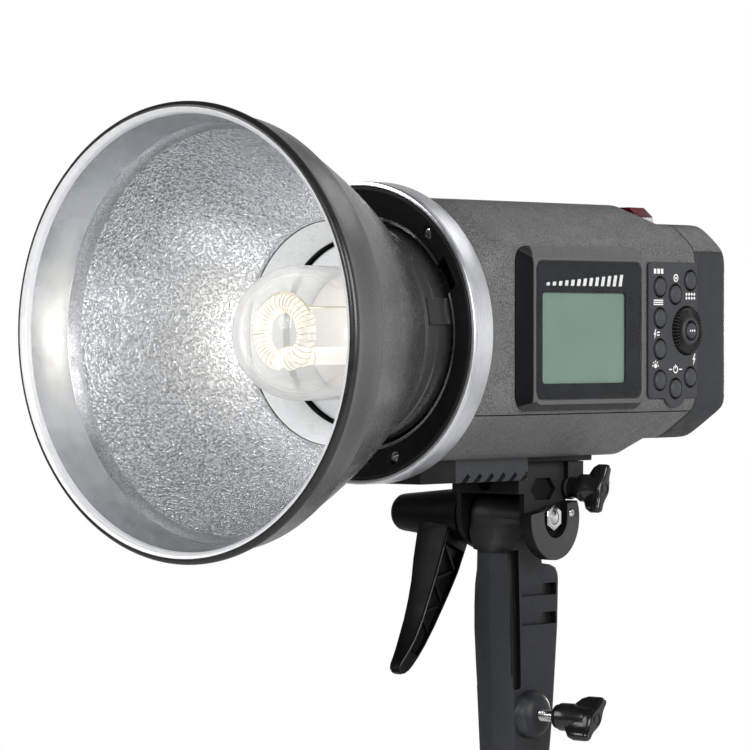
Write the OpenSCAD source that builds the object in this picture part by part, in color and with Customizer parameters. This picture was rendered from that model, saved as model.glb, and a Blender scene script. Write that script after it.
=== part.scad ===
// Battery-powered monolight strobe with a bayonet reflector, a tilting head and a
// stand handle.  +Z is up, the lamp fires towards -Y and the control panel is on +X.
// The origin is the centre of the stand socket's mouth, at the bottom of the handle.

/* [Head] */
// Height of the optical axis above the stand socket's mouth
axis_z = 187; // [184:1:192]
// Half of the housing's width
body_hw = 58; // [56:1:60]
// Top of the housing above the optical axis
body_top = 55.5; // [54:0.5:57]
// Bottom of the housing below the optical axis
body_bottom = 53; // [52:0.5:54]
// Wall thickness of the covers
wall = 2.5; // [2:0.1:3]
// Rear face of the silver ring, where the housing begins
body_front_y = -89.5; // [-90:0.5:-89]
// Seam between the housing and the battery
seam_y = 55; // [55:0.5:57]
// Rear face of the battery
rear_y = 79; // [76:1:82]
// Outside radius of the silver ring
ring_r = 62.5; // [62:0.5:64]
// Width of the silver ring along the axis
ring_w = 12.5; // [10:0.5:14]

/* [Reflector] */
// Outside radius over the rolled rim
rim_r = 91; // [90:0.5:93]
// Plane of the rim
rim_y = -209; // [-212:1:-206]
// Radius of the rolled edge itself
bead_r = 2.4; // [2:0.1:2.8]
// Depth of the smooth front band
band_depth = 23; // [20:1:26]
// Depth from the rim to the start of the pebbled bowl
bowl_front = 28; // [26:1:30]
// Depth from the rim to the end of the pebbled bowl
bowl_back = 90; // [86:1:94]
// Inside radius of the neck
neck_inner_r = 39.5; // [39:0.5:41]
// Outside radius of the neck
neck_outer_r = 45; // [44.5:0.5:46]

/* [Bracket and handle] */
// Height of the tilt axis
tilt_z = 108; // [106:1:110]
// Outside face of each bracket ear
ear_x = 18.5; // [18:0.5:20]
// Radius of the ears round the tilt axis
ear_r = 17; // [16:0.5:18]
// Radius of the handle's barrel between the ears
barrel_r = 10; // [9.5:0.1:10]
// Half of the handle's width
handle_hw = 10.5; // [10.5:0.5:12]
// Radius of the stand socket, for a 16 mm spigot
socket_r = 8.1; // [8:0.1:8.3]
// Depth of the stand socket
socket_depth = 46; // [40:1:50]
// Radius of the umbrella shaft hole
umbrella_r = 4.1; // [4:0.1:5]
// Lean of the tilt lever towards the front
lever_lean = 25; // [15:1:30]

/* [Hidden] */
$fn = 64;
gap = 0.3;
run = 0.05;
bell_y = body_front_y - ring_w;
plate_y0 = rim_y + 112.4;
plate_t = 2.5;
cover_split = -33.7;
step_y = 31;
step_run = 16;
rear_top = 47.5;
rear_bottom = 46;
bore_z = 123.6;
web_z0 = 118.3;
web_z1 = 132;
web_y0 = -18;
web_y1 = 24;
lug_angle = 11;
notch_angle = 28;
screw_angle = 49;
screw_pcr = 53.8;
panel_x = body_hw;
key_r = 4.1;
key_hole_r = 4.5;
// Key centres: distance from the stand axis and from the optical axis
key_mode_at = [27.6, 19.7];
key_menu_at = [27.6, 6.4];
key_sync_speed_at = [27.6, -6.9];
key_lamp_at = [27.6, -20.2];
key_slave_at = [38.6, 16.6];
key_group_at = [49.5, 22.6];
key_power_at = [38.8, -23.8];
key_test_at = [49.6, -19];
dial_at = [47, 1];
key_places = [key_mode_at, key_menu_at, key_sync_speed_at, key_lamp_at,
              key_slave_at, key_group_at, key_power_at, key_test_at];
dial_r = 10.1;
dial_key_r = 3.85;
cap_r = 16;
cell_r = 9.1;
stand_screw_z = 23;
umbrella_at = [16, 120.3];
fan_at = [0, -42, 136.7];
// Case screws and bracket screws: distances from the stand axis
case_screw_x = [-38, 38];
case_screw_y = [-62, 42];
bracket_screw_x = [-11, 11];
bracket_screw_y = [-12, 6];
keel_hw = 24;
// Plane of the flash tube's ring, and the half distance and drop of its legs
tube_y = rim_y + 62;
pin_x = 12;
pin_drop = 8;
// Half side and centre of the battery's way in
bay_hw = 32;
slot_z = [63.9, 76.4];
contact_x = [-12, 0, 12];
// The handle's front ridge: its foot, its lean and the slope of its two facets
ridge_y = -12.6;
ridge_lean = 2.1;
facet_angle = 11;
// Heights between which the grooves behind its front face run
groove_z = [34, 88];
// Tilt bolt, its locking screw and the rounding of the bracket's ears
bolt_r = 3;
lock_screw_r = 1.7;
lock_screw_at = [10.6, tilt_z + 1.8];
flank_r = 14.4;
// Flare of the handle's head, which fills the room between the ears
head_hw = ear_x - wall - 1.15;
head_z = [92.5, 101.5];

// ---- placing helpers ------------------------------------------------------

// Child drawn about +Z, laid along +Y on the optical axis, starting at y
module along_y(y) { translate([0, y, axis_z]) rotate([-90, 0, 0]) children(); }

// 2D outline in X and height above the optical axis, run from y0 to y1
module run_y(y0, y1) {
    translate([0, y1, axis_z]) rotate([90, 0, 0]) linear_extrude(y1 - y0) children();
}

// 2D outline in Y and Z, run from x0 to x1
module run_x(x0, x1) {
    translate([x0, 0, 0]) rotate([90, 0, 90]) linear_extrude(x1 - x0) children();
}

// Cylinder along X between x0 and x1
module rod_x(x0, x1, r, y, z) {
    translate([x0, y, z]) rotate([0, 90, 0]) cylinder(h = x1 - x0, r = r);
}

// Child turned by a, from +X towards +Z, about the optical axis
module turned(a) {
    translate([0, 0, axis_z]) rotate([0, -a, 0]) translate([0, 0, -axis_z]) children();
}

// Rectangle with round corners, in Y and Z
module soft_rect(y0, y1, z0, z1, r) {
    translate([y0 + r, z0]) square([y1 - y0 - 2 * r, z1 - z0]);
    translate([y0, z0 + r]) square([y1 - y0, z1 - z0 - 2 * r]);
    for (y = [y0 + r, y1 - r], z = [z0 + r, z1 - r]) translate([y, z]) circle(r);
}

// ---- housing --------------------------------------------------------------

// Half of the housing's section, drawn inwards by t
function section_half(t) = [
    [body_hw - t, -32 + t / 2], [body_hw - t, 36 - t / 2], [46 - t, rear_top - t / 2],
    [34 - t / 2, body_top - t]];
function section_low(t) = [
    [28 - t / 2, -body_bottom + t], [38 - t / 2, -rear_bottom + t / 2 + 0.4]];

module section(t = 0) {
    pts = concat(section_low(t), section_half(t));
    left = [for (i = [len(pts) - 1 : -1 : 0]) [-pts[i][0], pts[i][1]]];
    polygon(concat(pts, left));
}

module rear_section(t = 0) {
    intersection() {
        section(t);
        translate([-100, -rear_bottom + t]) square([200, rear_bottom + rear_top - 2 * t]);
    }
}

// Solid outer form of the housing
module housing_form() {
    difference() {
        union() {
            intersection() {
                run_y(body_front_y, seam_y) section();
                along_y(body_front_y) cylinder(h = 180, r1 = ring_r - 1.2, r2 = ring_r + 110);
            }
            along_y(body_front_y) cylinder(h = 15, r1 = ring_r - 1, r2 = body_top - 0.3);
        }
        // Step down of the roof behind the sensor window
        run_x(-70, 70) polygon([
            [step_y, axis_z + body_top], [step_y + step_run, axis_z + rear_top],
            [seam_y + 1, axis_z + rear_top], [seam_y + 1, axis_z + 70],
            [step_y, axis_z + 70]]);
        // The floor rises by the same small step in front of the seam
        run_x(-70, 70) polygon([
            [step_y + 8, axis_z - body_bottom], [step_y + 14, axis_z - rear_bottom],
            [seam_y + 1, axis_z - rear_bottom], [seam_y + 1, axis_z - 70],
            [step_y + 8, axis_z - 70]]);
    }
}

// Room inside the housing
module housing_room() {
    run_y(body_front_y + 15, step_y - 2) section(wall);
    run_y(step_y - 3, seam_y - wall) rear_section(wall);
    along_y(body_front_y - 1) cylinder(h = 17, r = 52.5);
    // Way in for the battery
    run_y(seam_y - 4, seam_y + 1) translate([-bay_hw, 1 - bay_hw]) square(2 * bay_hw);
}

module screw_columns(z0, z1, r) {
    for (x = case_screw_x, y = case_screw_y)
        translate([x, y, z0]) cylinder(h = z1 - z0, r = r);
}

module upper_cover() {
    color([0.36, 0.35, 0.35]) difference() {
        union() {
            difference() {
                housing_form();
                housing_room();
            }
            intersection() {
                union() {
                    screw_columns(axis_z + cover_split, axis_z + cover_split + 5, 4);
                    for (s = [-1, 1], y = case_screw_y)
                        translate([s * 49 - 8, y - 1, axis_z + cover_split]) cube([16, 2, 5]);
                }
                housing_form();
            }
        }
        translate([-100, -150, 0]) cube([200, 300, axis_z + cover_split]);
        screw_columns(axis_z + cover_split - 1, axis_z + cover_split + 4.5, 1.55);
        mount_screw_holes(1.55);
        // Screen opening and keypad opening
        run_x(body_hw - 6, body_hw + 2) soft_rect(-57, 9, axis_z - 25, axis_z + 27, 2);
        run_x(body_hw - 6, body_hw + 2) soft_rect(22, 54.2, axis_z - 28.4, axis_z + 27.4, 1);
        // Jack openings on the other side
        rod_x(-body_hw - 2, -body_hw + 6, 4.2, 28, axis_z - 6);
        run_x(-body_hw - 2, -body_hw + 6) soft_rect(36, 46, axis_z - 11, axis_z - 1, 1);
        // Flat seat of the release catch, and the slot for its stem
        run_x(-body_hw - 6, -body_hw) soft_rect(-88.6, -70, axis_z - 7, axis_z + 7, 1);
        run_x(-body_hw - 5, -body_hw + 6) soft_rect(-84, -75, axis_z - 2.4, axis_z + 2.4, 1);
        // Side vents on the far side
        for (i = [0 : 6])
            run_x(-body_hw - 2, -body_hw + 4)
                soft_rect(-50 + i * 8, -47 + i * 8, axis_z - 16, axis_z + 16, 1.4);
    }
}

module lower_cover() {
    base_z0 = axis_z - ring_r;
    color([0.34, 0.33, 0.33]) difference() {
        union() {
            difference() {
                intersection() {
                    housing_form();
                    translate([-100, -150, 0]) cube([200, 300, axis_z + cover_split]);
                }
                housing_room();
            }
            intersection() {
                screw_columns(axis_z - 48, axis_z + cover_split, 4.6);
                housing_form();
            }
            // Keel that carries the bracket, with the vents in its front half
            difference() {
                union() {
                    translate([-keel_hw, body_front_y, base_z0])
                        cube([2 * keel_hw, web_y0 - gap - body_front_y, 11]);
                    translate([-keel_hw, web_y0 - 2, web_z1]) cube([2 * keel_hw, 46, 4]);
                }
                housing_room();
                along_y(body_front_y - 1) cylinder(h = 17, r = 52.5);
            }
        }
        mount_screw_holes(1.55);
        screw_columns(100, axis_z - 39, 3.2);
        screw_columns(100, axis_z, 1.6);
        for (i = [0 : 5])
            translate([0, -62 + i * 7.9, base_z0]) rotate([-50, 0, 0]) translate([-30, -0.75, -3])
                cube([60, 1.5, 8]);
        for (i = [0 : 5])
            translate([-16, -61.5 + i * 7.9, base_z0 - 1]) cube([32, 2.4, 20]);
        for (x = bracket_screw_x, y = bracket_screw_y) translate([x, y, 100]) cylinder(h = 40, r = 2.05);
    }
}

module front_bell() {
    color([0.27, 0.26, 0.26]) difference() {
        along_y(bell_y) rotate_extrude() polygon([
            [ring_r - 2, 0], [ring_r - 2, ring_w - 0.2], [56.6, ring_w - 0.2], [56.6, 5.3],
            [48.5, 5.3], [48.5, 4.4]]);
        // Ways in for the three lugs
        for (k = [0 : 2]) turned(notch_angle + 120 * k)
            translate([40, bell_y - 1, axis_z - 6.8]) cube([14, 8, 13.6]);
        for (k = [0 : 2]) turned(screw_angle + 120 * k)
            translate([screw_pcr, bell_y - 1, axis_z]) rotate([-90, 0, 0]) cylinder(h = 8, r = 3.1);
    }
}

module silver_ring() {
    color([0.84, 0.85, 0.87]) along_y(bell_y) rotate_extrude() polygon([
        [ring_r - 1.9, 0.4], [ring_r - 1.5, 0], [ring_r - 0.5, 0], [ring_r, 0.5],
        [ring_r, ring_w - 0.2], [ring_r - 1.9, ring_w - 0.2]]);
}

module mount_ring() {
    color([0.62, 0.63, 0.65]) {
        difference() {
            along_y(plate_y0) cylinder(h = plate_t, r = 56.4, $fn = 96);
            along_y(plate_y0 - 1) cylinder(h = plate_t + 2, r = 47, $fn = 96);
            for (k = [0 : 2]) turned(notch_angle + 120 * k)
                translate([40, plate_y0 - 1, axis_z - 6.8]) cube([13.6, plate_t + 2, 13.6]);
            mount_screw_holes(1.6);
        }
        // Stop that a lug meets at the end of its turn
        turned(notch_angle + 9.5) translate([50.5, plate_y0 + plate_t - 0.5, axis_z - 1])
            cube([3.4, 3.5, 2]);
    }
}

module mount_screw_holes(r) {
    for (k = [0 : 2]) turned(screw_angle + 120 * k)
        translate([screw_pcr, plate_y0 - 1, axis_z]) rotate([-90, 0, 0]) cylinder(h = 14, r = r);
}

module mount_screws() {
    color([0.8, 0.8, 0.82]) for (k = [0 : 2]) turned(screw_angle + 120 * k)
        translate([screw_pcr, plate_y0, axis_z]) rotate([-90, 0, 0]) difference() {
            union() {
                translate([0, 0, -2]) cylinder(h = 2, r = 2.9);
                cylinder(h = 12, r = 1.5);
            }
            translate([-0.4, -2, -2.1]) cube([0.8, 4, 0.9]);
            translate([-2, -0.4, -2.1]) cube([4, 0.8, 0.9]);
        }
}

// ---- lamp -----------------------------------------------------------------

module lamp_pan() {
    color([0.93, 0.93, 0.9]) difference() {
        along_y(rim_y + 107.5) rotate_extrude() polygon([
            [28.2, 1.6], [35.5, 0], [37.2, 0.8], [37.2, 15], [46, 15], [46, 17],
            [35.4, 17], [35.4, 2], [28.2, 3.2]]);
        for (k = [0 : 2]) turned(90 + 120 * k) translate([41.5, -120, axis_z]) rotate([-90, 0, 0])
            cylinder(h = 60, r = 1.6);
    }
}

module lamp_socket() {
    color([0.9, 0.88, 0.84]) difference() {
        along_y(rim_y + 112) union() {
            cylinder(h = 14, r = 27);
            translate([0, 0, 12.8]) cylinder(h = 2, r = 45);
        }
        for (s = [-1, 1]) translate([s * pin_x, -110, axis_z - pin_drop]) rotate([-90, 0, 0])
            cylinder(h = 40, r = 1.6 + run);
    }
}

module modelling_lamp() {
    color([0.95, 0.9, 0.6]) along_y(rim_y + 101) union() {
        translate([0, 0, 4]) cylinder(h = 7, r = 4);
        translate([0, 0, 4]) sphere(4, $fn = 32);
    }
}

module tube_base() {
    color([0.92, 0.91, 0.88]) {
        difference() {
            along_y(rim_y + 105.5) cylinder(h = 6.2, r = 25.7);
            along_y(rim_y + 100) cylinder(h = 20, r = 4.6);
        }
        for (s = [-1, 1]) translate([s * pin_x, rim_y + 111.7, axis_z - pin_drop]) rotate([-90, 0, 0])
            cylinder(h = 9, r = 1.6);
    }
}

module glass_dome() {
    outer = 27.5;
    inner = 26;
    color([0.9, 0.94, 0.95, 0.35]) along_y(rim_y + 71.4) difference() {
        union() {
            cylinder(h = 40, r = outer);
            sphere(outer);
        }
        cylinder(h = 41, r = inner);
        sphere(inner);
    }
}

module flash_tube() {
    ring_major = 12.2;
    tube_r = 3.6;
    color([0.97, 0.96, 0.92]) {
        along_y(tube_y) rotate_extrude() translate([ring_major, 0]) circle(tube_r, $fn = 32);
        for (s = [-1, 1]) translate([s * 9, tube_y, axis_z - pin_drop]) rotate([-90, 0, 0])
            cylinder(h = 43.4, r = tube_r);
    }
}

module trigger_wire() {
    wire_major = 16.3;
    wire_r = 0.45;
    color([0.85, 0.68, 0.3]) {
        along_y(tube_y) rotate_extrude() translate([wire_major, 0]) circle(wire_r, $fn = 16);
        for (a = [40, 140]) turned(a) translate([wire_major, tube_y, axis_z]) rotate([-90, 0, 0])
            cylinder(h = 43.4, r = wire_r, $fn = 16);
    }
}

// ---- reflector ------------------------------------------------------------

// Radius of the bowl's inside at depth d behind the rim: a parabola
function bowl_r(d) = sqrt(70.8 * (120.7 - d));

module reflector_shell() {
    steps = 10;
    depths = [for (i = [0 : steps]) bowl_front + (bowl_back - bowl_front) * i / steps];
    inside = [for (d = depths) [bowl_r(d), d]];
    outside = [for (i = [steps : -1 : 0])
        [bowl_r(depths[i]) + 2.2 + 1.2 * i / steps, depths[i] + 0.6]];
    bead = [for (a = [60 : -15 : -195])
        [rim_r - bead_r + bead_r * cos(a), bead_r + bead_r * sin(a)]];
    color([0.3, 0.3, 0.31]) along_y(rim_y) rotate_extrude($fn = 128) polygon(concat(
        bead, [[rim_r - 7.4, band_depth], [bowl_r(bowl_front), bowl_front - 1]], inside,
        [[46.6, bowl_back + 2.4], [49, bowl_back + 2.4]], outside,
        [[rim_r - 5.6, band_depth + 0.5], [rim_r - 4.4, band_depth - 1.5],
         [rim_r - 1.8, bead_r + 2.6]]));
}

module reflector_neck() {
    color([0.3, 0.3, 0.31]) {
        along_y(rim_y) rotate_extrude($fn = 96) polygon([
            [46.6, bowl_back + 2.5], [neck_inner_r, 105], [neck_inner_r, 118],
            [neck_outer_r, 118], [neck_outer_r, bowl_back + 6], [48.9, bowl_back + 5],
            [48.9, bowl_back + 2.5]]);
        for (k = [0 : 2]) turned(lug_angle + 120 * k) {
            // Lug behind the mount ring, and its raised foot on the neck
            intersection() {
                translate([42, plate_y0 + plate_t + gap, axis_z - 5.8]) cube([14, 2.4, 11.6]);
                along_y(plate_y0) cylinder(h = 12, r = 52.4);
            }
            translate([43.5, rim_y + 95, axis_z - 5.4]) cube([2.6, 22, 10.8]);
        }
    }
}

// ---- control panel --------------------------------------------------------

module screen_bezel() {
    color([0.09, 0.09, 0.1]) difference() {
        union() {
            run_x(panel_x, panel_x + 1.6)
                soft_rect(-70.5, 16.4, axis_z - 32.2, axis_z + 35.9, 7);
            run_x(panel_x, panel_x + 3)
                soft_rect(-65.5, 15.6, axis_z - 30.4, axis_z + 33.6, 6);
        }
        run_x(panel_x - 1, panel_x + 4) soft_rect(-56, 8, axis_z - 22.5, axis_z + 18.5, 1.2);
        run_x(panel_x + 1.7, panel_x + 4)
            soft_rect(-61.4, 12.4, axis_z - 27, axis_z + 29.8, 4);
    }
}

module screen_glass() {
    color([0.04, 0.05, 0.08, 0.5]) run_x(panel_x + 1.7, panel_x + 2.9)
        soft_rect(-61.2, 12.2, axis_z - 26.8, axis_z + 29.6, 3.8);
}

module lcd_panel() {
    color([0.45, 0.55, 0.5]) run_x(panel_x - 3.5, panel_x + 1.4)
        soft_rect(-55.6, 7.6, axis_z - 22, axis_z + 18, 1);
}

module keypad_plate() {
    color([0.13, 0.13, 0.14]) difference() {
        union() {
            run_x(panel_x, panel_x + 1.2) soft_rect(19.5, 54.7, axis_z - 28, axis_z + 30.3, 4);
            rod_x(panel_x, panel_x + 1.2, 8.4, key_power_at[0], axis_z + key_power_at[1]);
        }
        for (k = key_places) rod_x(panel_x - 1, panel_x + 2, key_hole_r, k[0], axis_z + k[1]);
        rod_x(panel_x - 1, panel_x + 2, dial_r + 0.5, dial_at[0], axis_z + dial_at[1]);
    }
}

// One push key: a stem, a shoulder under the plate and a slightly domed cap
module key(at) {
    y = at[0];
    z = axis_z + at[1];
    color([0.2, 0.2, 0.21]) {
        rod_x(panel_x - 3.2, panel_x + 1.6, key_r, y, z);
        translate([panel_x + 1.6, y, z]) rotate([0, 90, 0])
            cylinder(h = 0.6, r1 = key_r, r2 = key_r - 0.7);
    }
}

module key_mode() { key(key_mode_at); }
module key_menu() { key(key_menu_at); }
module key_sync_speed() { key(key_sync_speed_at); }
module key_lamp() { key(key_lamp_at); }
module key_slave() { key(key_slave_at); }
module key_group() { key(key_group_at); }
module key_power() { key(key_power_at); }
module key_test() { key(key_test_at); }

module dial_ring() {
    ribs = 36;
    y = dial_at[0];
    z = axis_z + dial_at[1];
    color([0.16, 0.16, 0.17]) difference() {
        union() {
            rod_x(panel_x + gap, panel_x + 3.2, dial_r - 0.5, y, z);
            rod_x(panel_x - 2, panel_x + 1, 6.6, y, z);
            rod_x(panel_x + 3.1, panel_x + 3.8, 7.2, y, z);
            for (i = [0 : ribs - 1]) translate([panel_x + gap, y, z]) rotate([360 * i / ribs, 0, 0])
                translate([0, dial_r - 1.2, -0.4]) cube([2.8, 1.15, 0.8]);
        }
        rod_x(panel_x - 3, panel_x + 5, dial_key_r + 0.3, y, z);
    }
}

module dial_key() {
    color([0.2, 0.2, 0.21])
        rod_x(panel_x - 3.2, panel_x + 4.3, dial_key_r, dial_at[0], axis_z + dial_at[1]);
}

module control_board() {
    color([0.12, 0.35, 0.2]) {
        run_x(50.6, 52.2) soft_rect(-58, 51, axis_z - 27.8, axis_z + 28, 1);
        for (k = key_places) rod_x(52.2, 53.6, 2, k[0], axis_z + k[1]);
        rod_x(52.2, 53.6, 2.6, dial_at[0], axis_z + dial_at[1]);
    }
}

module sensor_window() {
    color([0.55, 0.05, 0.1, 0.8]) run_x(-36, 36) polygon([
        [step_y + 2.4, axis_z + 54.8], [step_y + 12.5, axis_z + 54.8],
        [seam_y - 0.8, axis_z + 50.3], [step_y + 11, axis_z + 50.3]]);
}

module sensor_diffuser() {
    color([0.93, 0.92, 0.9]) run_x(-36, 36) polygon([
        [step_y + 11.3, axis_z + 50.2], [seam_y - 0.8, axis_z + 50.2],
        [seam_y - 0.8, axis_z + 47.6], [step_y + step_run, axis_z + 47.6]]);
}

// ---- inside the housing ---------------------------------------------------

module capacitors() {
    color([0.1, 0.14, 0.3]) for (x = [-cap_r - 1, cap_r + 1], z = [-18.5, 15])
        translate([x, -66, axis_z + z]) rotate([-90, 0, 0]) {
            cylinder(h = 48, r = cap_r);
            for (s = [-5, 5]) translate([s, 0, -4]) cylinder(h = 4, r = 2);
        }
}

module main_board() {
    color([0.12, 0.35, 0.2]) {
        run_x(-48.6, -47) soft_rect(-68, 49, axis_z - 18, axis_z + 33, 1);
        translate([-47, -60, axis_z + 20]) cube([10, 24, 12]);
        translate([-47, -20, axis_z + 20]) cube([8, 14, 12]);
    }
}

module battery_bay() {
    color([0.2, 0.2, 0.2]) difference() {
        run_y(-13, seam_y - wall) translate([-33.6, -32.6]) square([67.2, 67.2]);
        run_y(-11.8, seam_y) translate([-32.2, -31.2]) square([64.4, 64.4]);
        for (x = contact_x) translate([x - 1.2, -14, axis_z - 5]) cube([2.4, 5, 10]);
    }
}

module battery_terminals() {
    color([0.85, 0.7, 0.35]) for (x = contact_x)
        translate([x - 0.5, -16, axis_z - 4]) cube([1, 8.5, 8]);
}

module battery_case() {
    color([0.12, 0.12, 0.12]) difference() {
        run_y(-6.5, seam_y + gap) translate([-31, -30]) square([62, 62]);
        run_y(-5, seam_y - 1.5) translate([-29.2, -28.2]) square([58.4, 58.4]);
        for (x = contact_x) translate([x - 1.2, -8, axis_z - 5]) cube([2.4, 5, 10]);
    }
}

module battery_cells() {
    color([0.2, 0.45, 0.6]) for (x = [-19.2, 0, 19.2], z = [-18.2, 1, 20.2])
        translate([x, -4.6, axis_z + z]) rotate([-90, 0, 0]) cylinder(h = 57.5, r = cell_r);
}

module battery_cap() {
    color([0.22, 0.23, 0.25]) difference() {
        union() {
            run_y(seam_y + gap, rear_y - 3) rear_section();
            intersection() {
                run_y(rear_y - 3, rear_y) rear_section(1.2);
                along_y(rear_y - 3) cylinder(h = 3, r1 = 90, r2 = 62);
            }
        }
        // Hollow, open towards the cells
        run_y(seam_y - 1, rear_y - 6) translate([-28, -28]) square([56, 56]);
        run_y(seam_y + 3, rear_y - 6) rear_section(3);
        // Finger recess in the rear face
        translate([-30, rear_y - 4, axis_z - 14]) cube([60, 5, 22]);
        // Pocket for the latch on the far side
        translate([-body_hw - 1, seam_y + 6, axis_z - 9]) cube([9, 14, 18]);
    }
}

module battery_latch() {
    color([0.1, 0.1, 0.1]) translate([-body_hw - 0.6, seam_y + 6.3, axis_z - 8.7])
        cube([5, 13.4, 17.4]);
}

module fan_frame() {
    size = 50;
    color([0.15, 0.15, 0.15]) translate(fan_at) {
        difference() {
            translate([-size / 2, -size / 2, 0]) cube([size, size, 12]);
            translate([0, 0, -1]) cylinder(h = 14, r = 23.5);
        }
        difference() {
            union() {
                cylinder(h = 1.5, r = 9);
                for (a = [45, 135]) rotate([0, 0, a]) translate([-24, -1.5, 0]) cube([48, 3, 1.5]);
            }
            translate([0, 0, -1]) cylinder(h = 4, r = 1.5 + run);
        }
    }
}

module fan_rotor() {
    blades = 7;
    color([0.1, 0.1, 0.1]) translate(fan_at) {
        cylinder(h = 3, r = 1.5);
        translate([0, 0, 2]) cylinder(h = 9, r = 9);
        for (i = [0 : blades - 1]) rotate([0, 0, 360 * i / blades]) translate([8, 0, 6.5])
            rotate([38, 0, 0]) translate([0, -4.5, -0.6]) cube([14, 9, 1.2]);
    }
}

module jacks() {
    color([0.12, 0.12, 0.12]) {
        difference() {
            rod_x(-body_hw + 0.4, -body_hw + 9.3, 4, 28, axis_z - 6);
            rod_x(-body_hw, -body_hw + 8, 1.8, 28, axis_z - 6);
        }
        difference() {
            run_x(-body_hw + 0.4, -body_hw + 9.3) soft_rect(36.3, 45.7, axis_z - 10.7, axis_z - 1.3, 0.8);
            run_x(-body_hw, -body_hw + 8) soft_rect(37.3, 44.7, axis_z - 7.6, axis_z - 4.4, 0.6);
        }
    }
}

module port_cover() {
    hinge_z = axis_z - 17.2;
    color([0.08, 0.08, 0.08]) {
        run_x(-body_hw - 2, -body_hw - gap) soft_rect(20, 51, hinge_z + 0.4, axis_z + 7, 2);
        translate([-body_hw - 1.15, 22, hinge_z]) rotate([-90, 0, 0]) cylinder(h = 27, r = 0.8);
        translate([-body_hw - 1.5, 22, hinge_z - 0.1]) cube([0.7, 27, 1]);
        translate([-body_hw - 3, 32, axis_z + 4]) cube([1.2, 7, 2]);
    }
}

module case_screws() {
    color([0.15, 0.15, 0.15]) {
        for (x = case_screw_x, y = case_screw_y) translate([x, y, axis_z - 42.5]) {
            cylinder(h = 3.5, r = 2.8);
            cylinder(h = 13, r = 1.5);
        }
        for (x = bracket_screw_x, y = bracket_screw_y) translate([x, y, web_z0 + 0.4]) {
            cylinder(h = 2.6, r = 3.6);
            cylinder(h = 18, r = 2);
        }
    }
}

module release_catch() {
    color([0.1, 0.1, 0.1]) {
        translate([-body_hw - 3.2, -87, axis_z - 6]) cube([2.9, 9, 12]);
        translate([-body_hw - 1, -83.7, axis_z - 2.1]) cube([7, 3.6, 4.2]);
    }
}

// ---- bracket --------------------------------------------------------------

// Screw bushing on the near side that carries the umbrella screw
module umbrella_bushing(r, x0, x1) { rod_x(x0, x1, r, umbrella_at[0], umbrella_at[1]); }

module tilt_bracket() {
    color([0.07, 0.07, 0.08]) difference() {
        union() {
            translate([-ear_x, web_y0, web_z0]) cube([2 * ear_x, web_y1 - web_y0, web_z1 - web_z0]);
            for (x = [-ear_x, ear_x - wall]) {
                rod_x(x, x + wall, flank_r, 0, tilt_z);
                translate([x, -flank_r, tilt_z]) cube([wall, 2 * flank_r, web_z0 - tilt_z + 1]);
            }
            umbrella_bushing(5.1, 6, ear_x + 2.5);
            translate([ear_x - 1, 13, tilt_z + 8.6]) cube([3.5, web_y1 - 13, web_z1 - tilt_z - 8.6]);
        }
        translate([0, web_y0 - 1, bore_z]) rotate([-90, 0, 0]) cylinder(h = 60, r = umbrella_r);
        umbrella_bushing(2.5 + run, 3, ear_x + 4);
        rod_x(-ear_x - 1, ear_x + 1, bolt_r + run, 0, tilt_z);
        for (x = bracket_screw_x, y = bracket_screw_y) translate([x, y, web_z0 - 1]) {
            cylinder(h = 20, r = 2.1);
            cylinder(h = 4.1, r = 3.8);
        }
        // Hexagon pocket high on the near ear
        translate([ear_x - 1.8, 0, axis_z - 66.8]) rotate([90, 0, 90]) intersection() {
            cylinder(h = 4, r = 8.2, $fn = 6);
            translate([-9, -4.4, -1]) cube([18, 8.8, 6]);
        }
    }
}

module tilt_boss() {
    color([0.08, 0.08, 0.09]) difference() {
        intersection() {
            rod_x(ear_x, ear_x + 6, ear_r - 0.3, 0, tilt_z);
            translate([0, 0, tilt_z + 4.5]) rotate([9.6, 0, 0]) translate([0, -40, -60])
                cube([40, 80, 60]);
        }
        rod_x(ear_x + 2, ear_x + 8, 8, 0, tilt_z);
        rod_x(ear_x - 1, ear_x + 8, bolt_r + run, 0, tilt_z);
        rod_x(ear_x + 2, ear_x + 8, lock_screw_r + run, lock_screw_at[0], lock_screw_at[1]);
    }
}

module tilt_nut() {
    color([0.78, 0.78, 0.8]) difference() {
        translate([ear_x + 2.1, 0, tilt_z]) rotate([0, 90, 0]) cylinder(h = 3.2, r = 5.8, $fn = 6);
        rod_x(ear_x + 1, ear_x + 8, bolt_r + run, 0, tilt_z);
    }
    color([0.78, 0.78, 0.8])
        rod_x(ear_x + 2.1, ear_x + 6.6, lock_screw_r, lock_screw_at[0], lock_screw_at[1]);
}

module tilt_bolt() {
    color([0.75, 0.75, 0.77]) rod_x(-55, ear_x + 5.6, bolt_r, 0, tilt_z);
}

module friction_washers() {
    color([0.85, 0.85, 0.8]) for (x = [-ear_x + wall + 0.05, ear_x - wall - 1.05]) difference() {
        rod_x(x, x + 1, barrel_r - 0.5, 0, tilt_z);
        rod_x(x - 1, x + 2, bolt_r + run, 0, tilt_z);
    }
}

// Outline of the lever's arm seen from the side, hanging from the tilt axis
module lever_side() {
    polygon([[-8, 0], [8.4, 0], [8.2, -12], [8.7, -24], [8.4, -35], [7, -47], [5.1, -57],
        [3.6, -65], [2.2, -70.5], [0, -74.5], [-2.5, -76.3], [-5, -76], [-6.4, -74], [-5.6, -71],
        [-4.6, -66.5], [-3.8, -60], [-3.3, -51], [-3.6, -42], [-4.4, -33], [-5.7, -24],
        [-6.9, -16]]);
}

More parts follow.
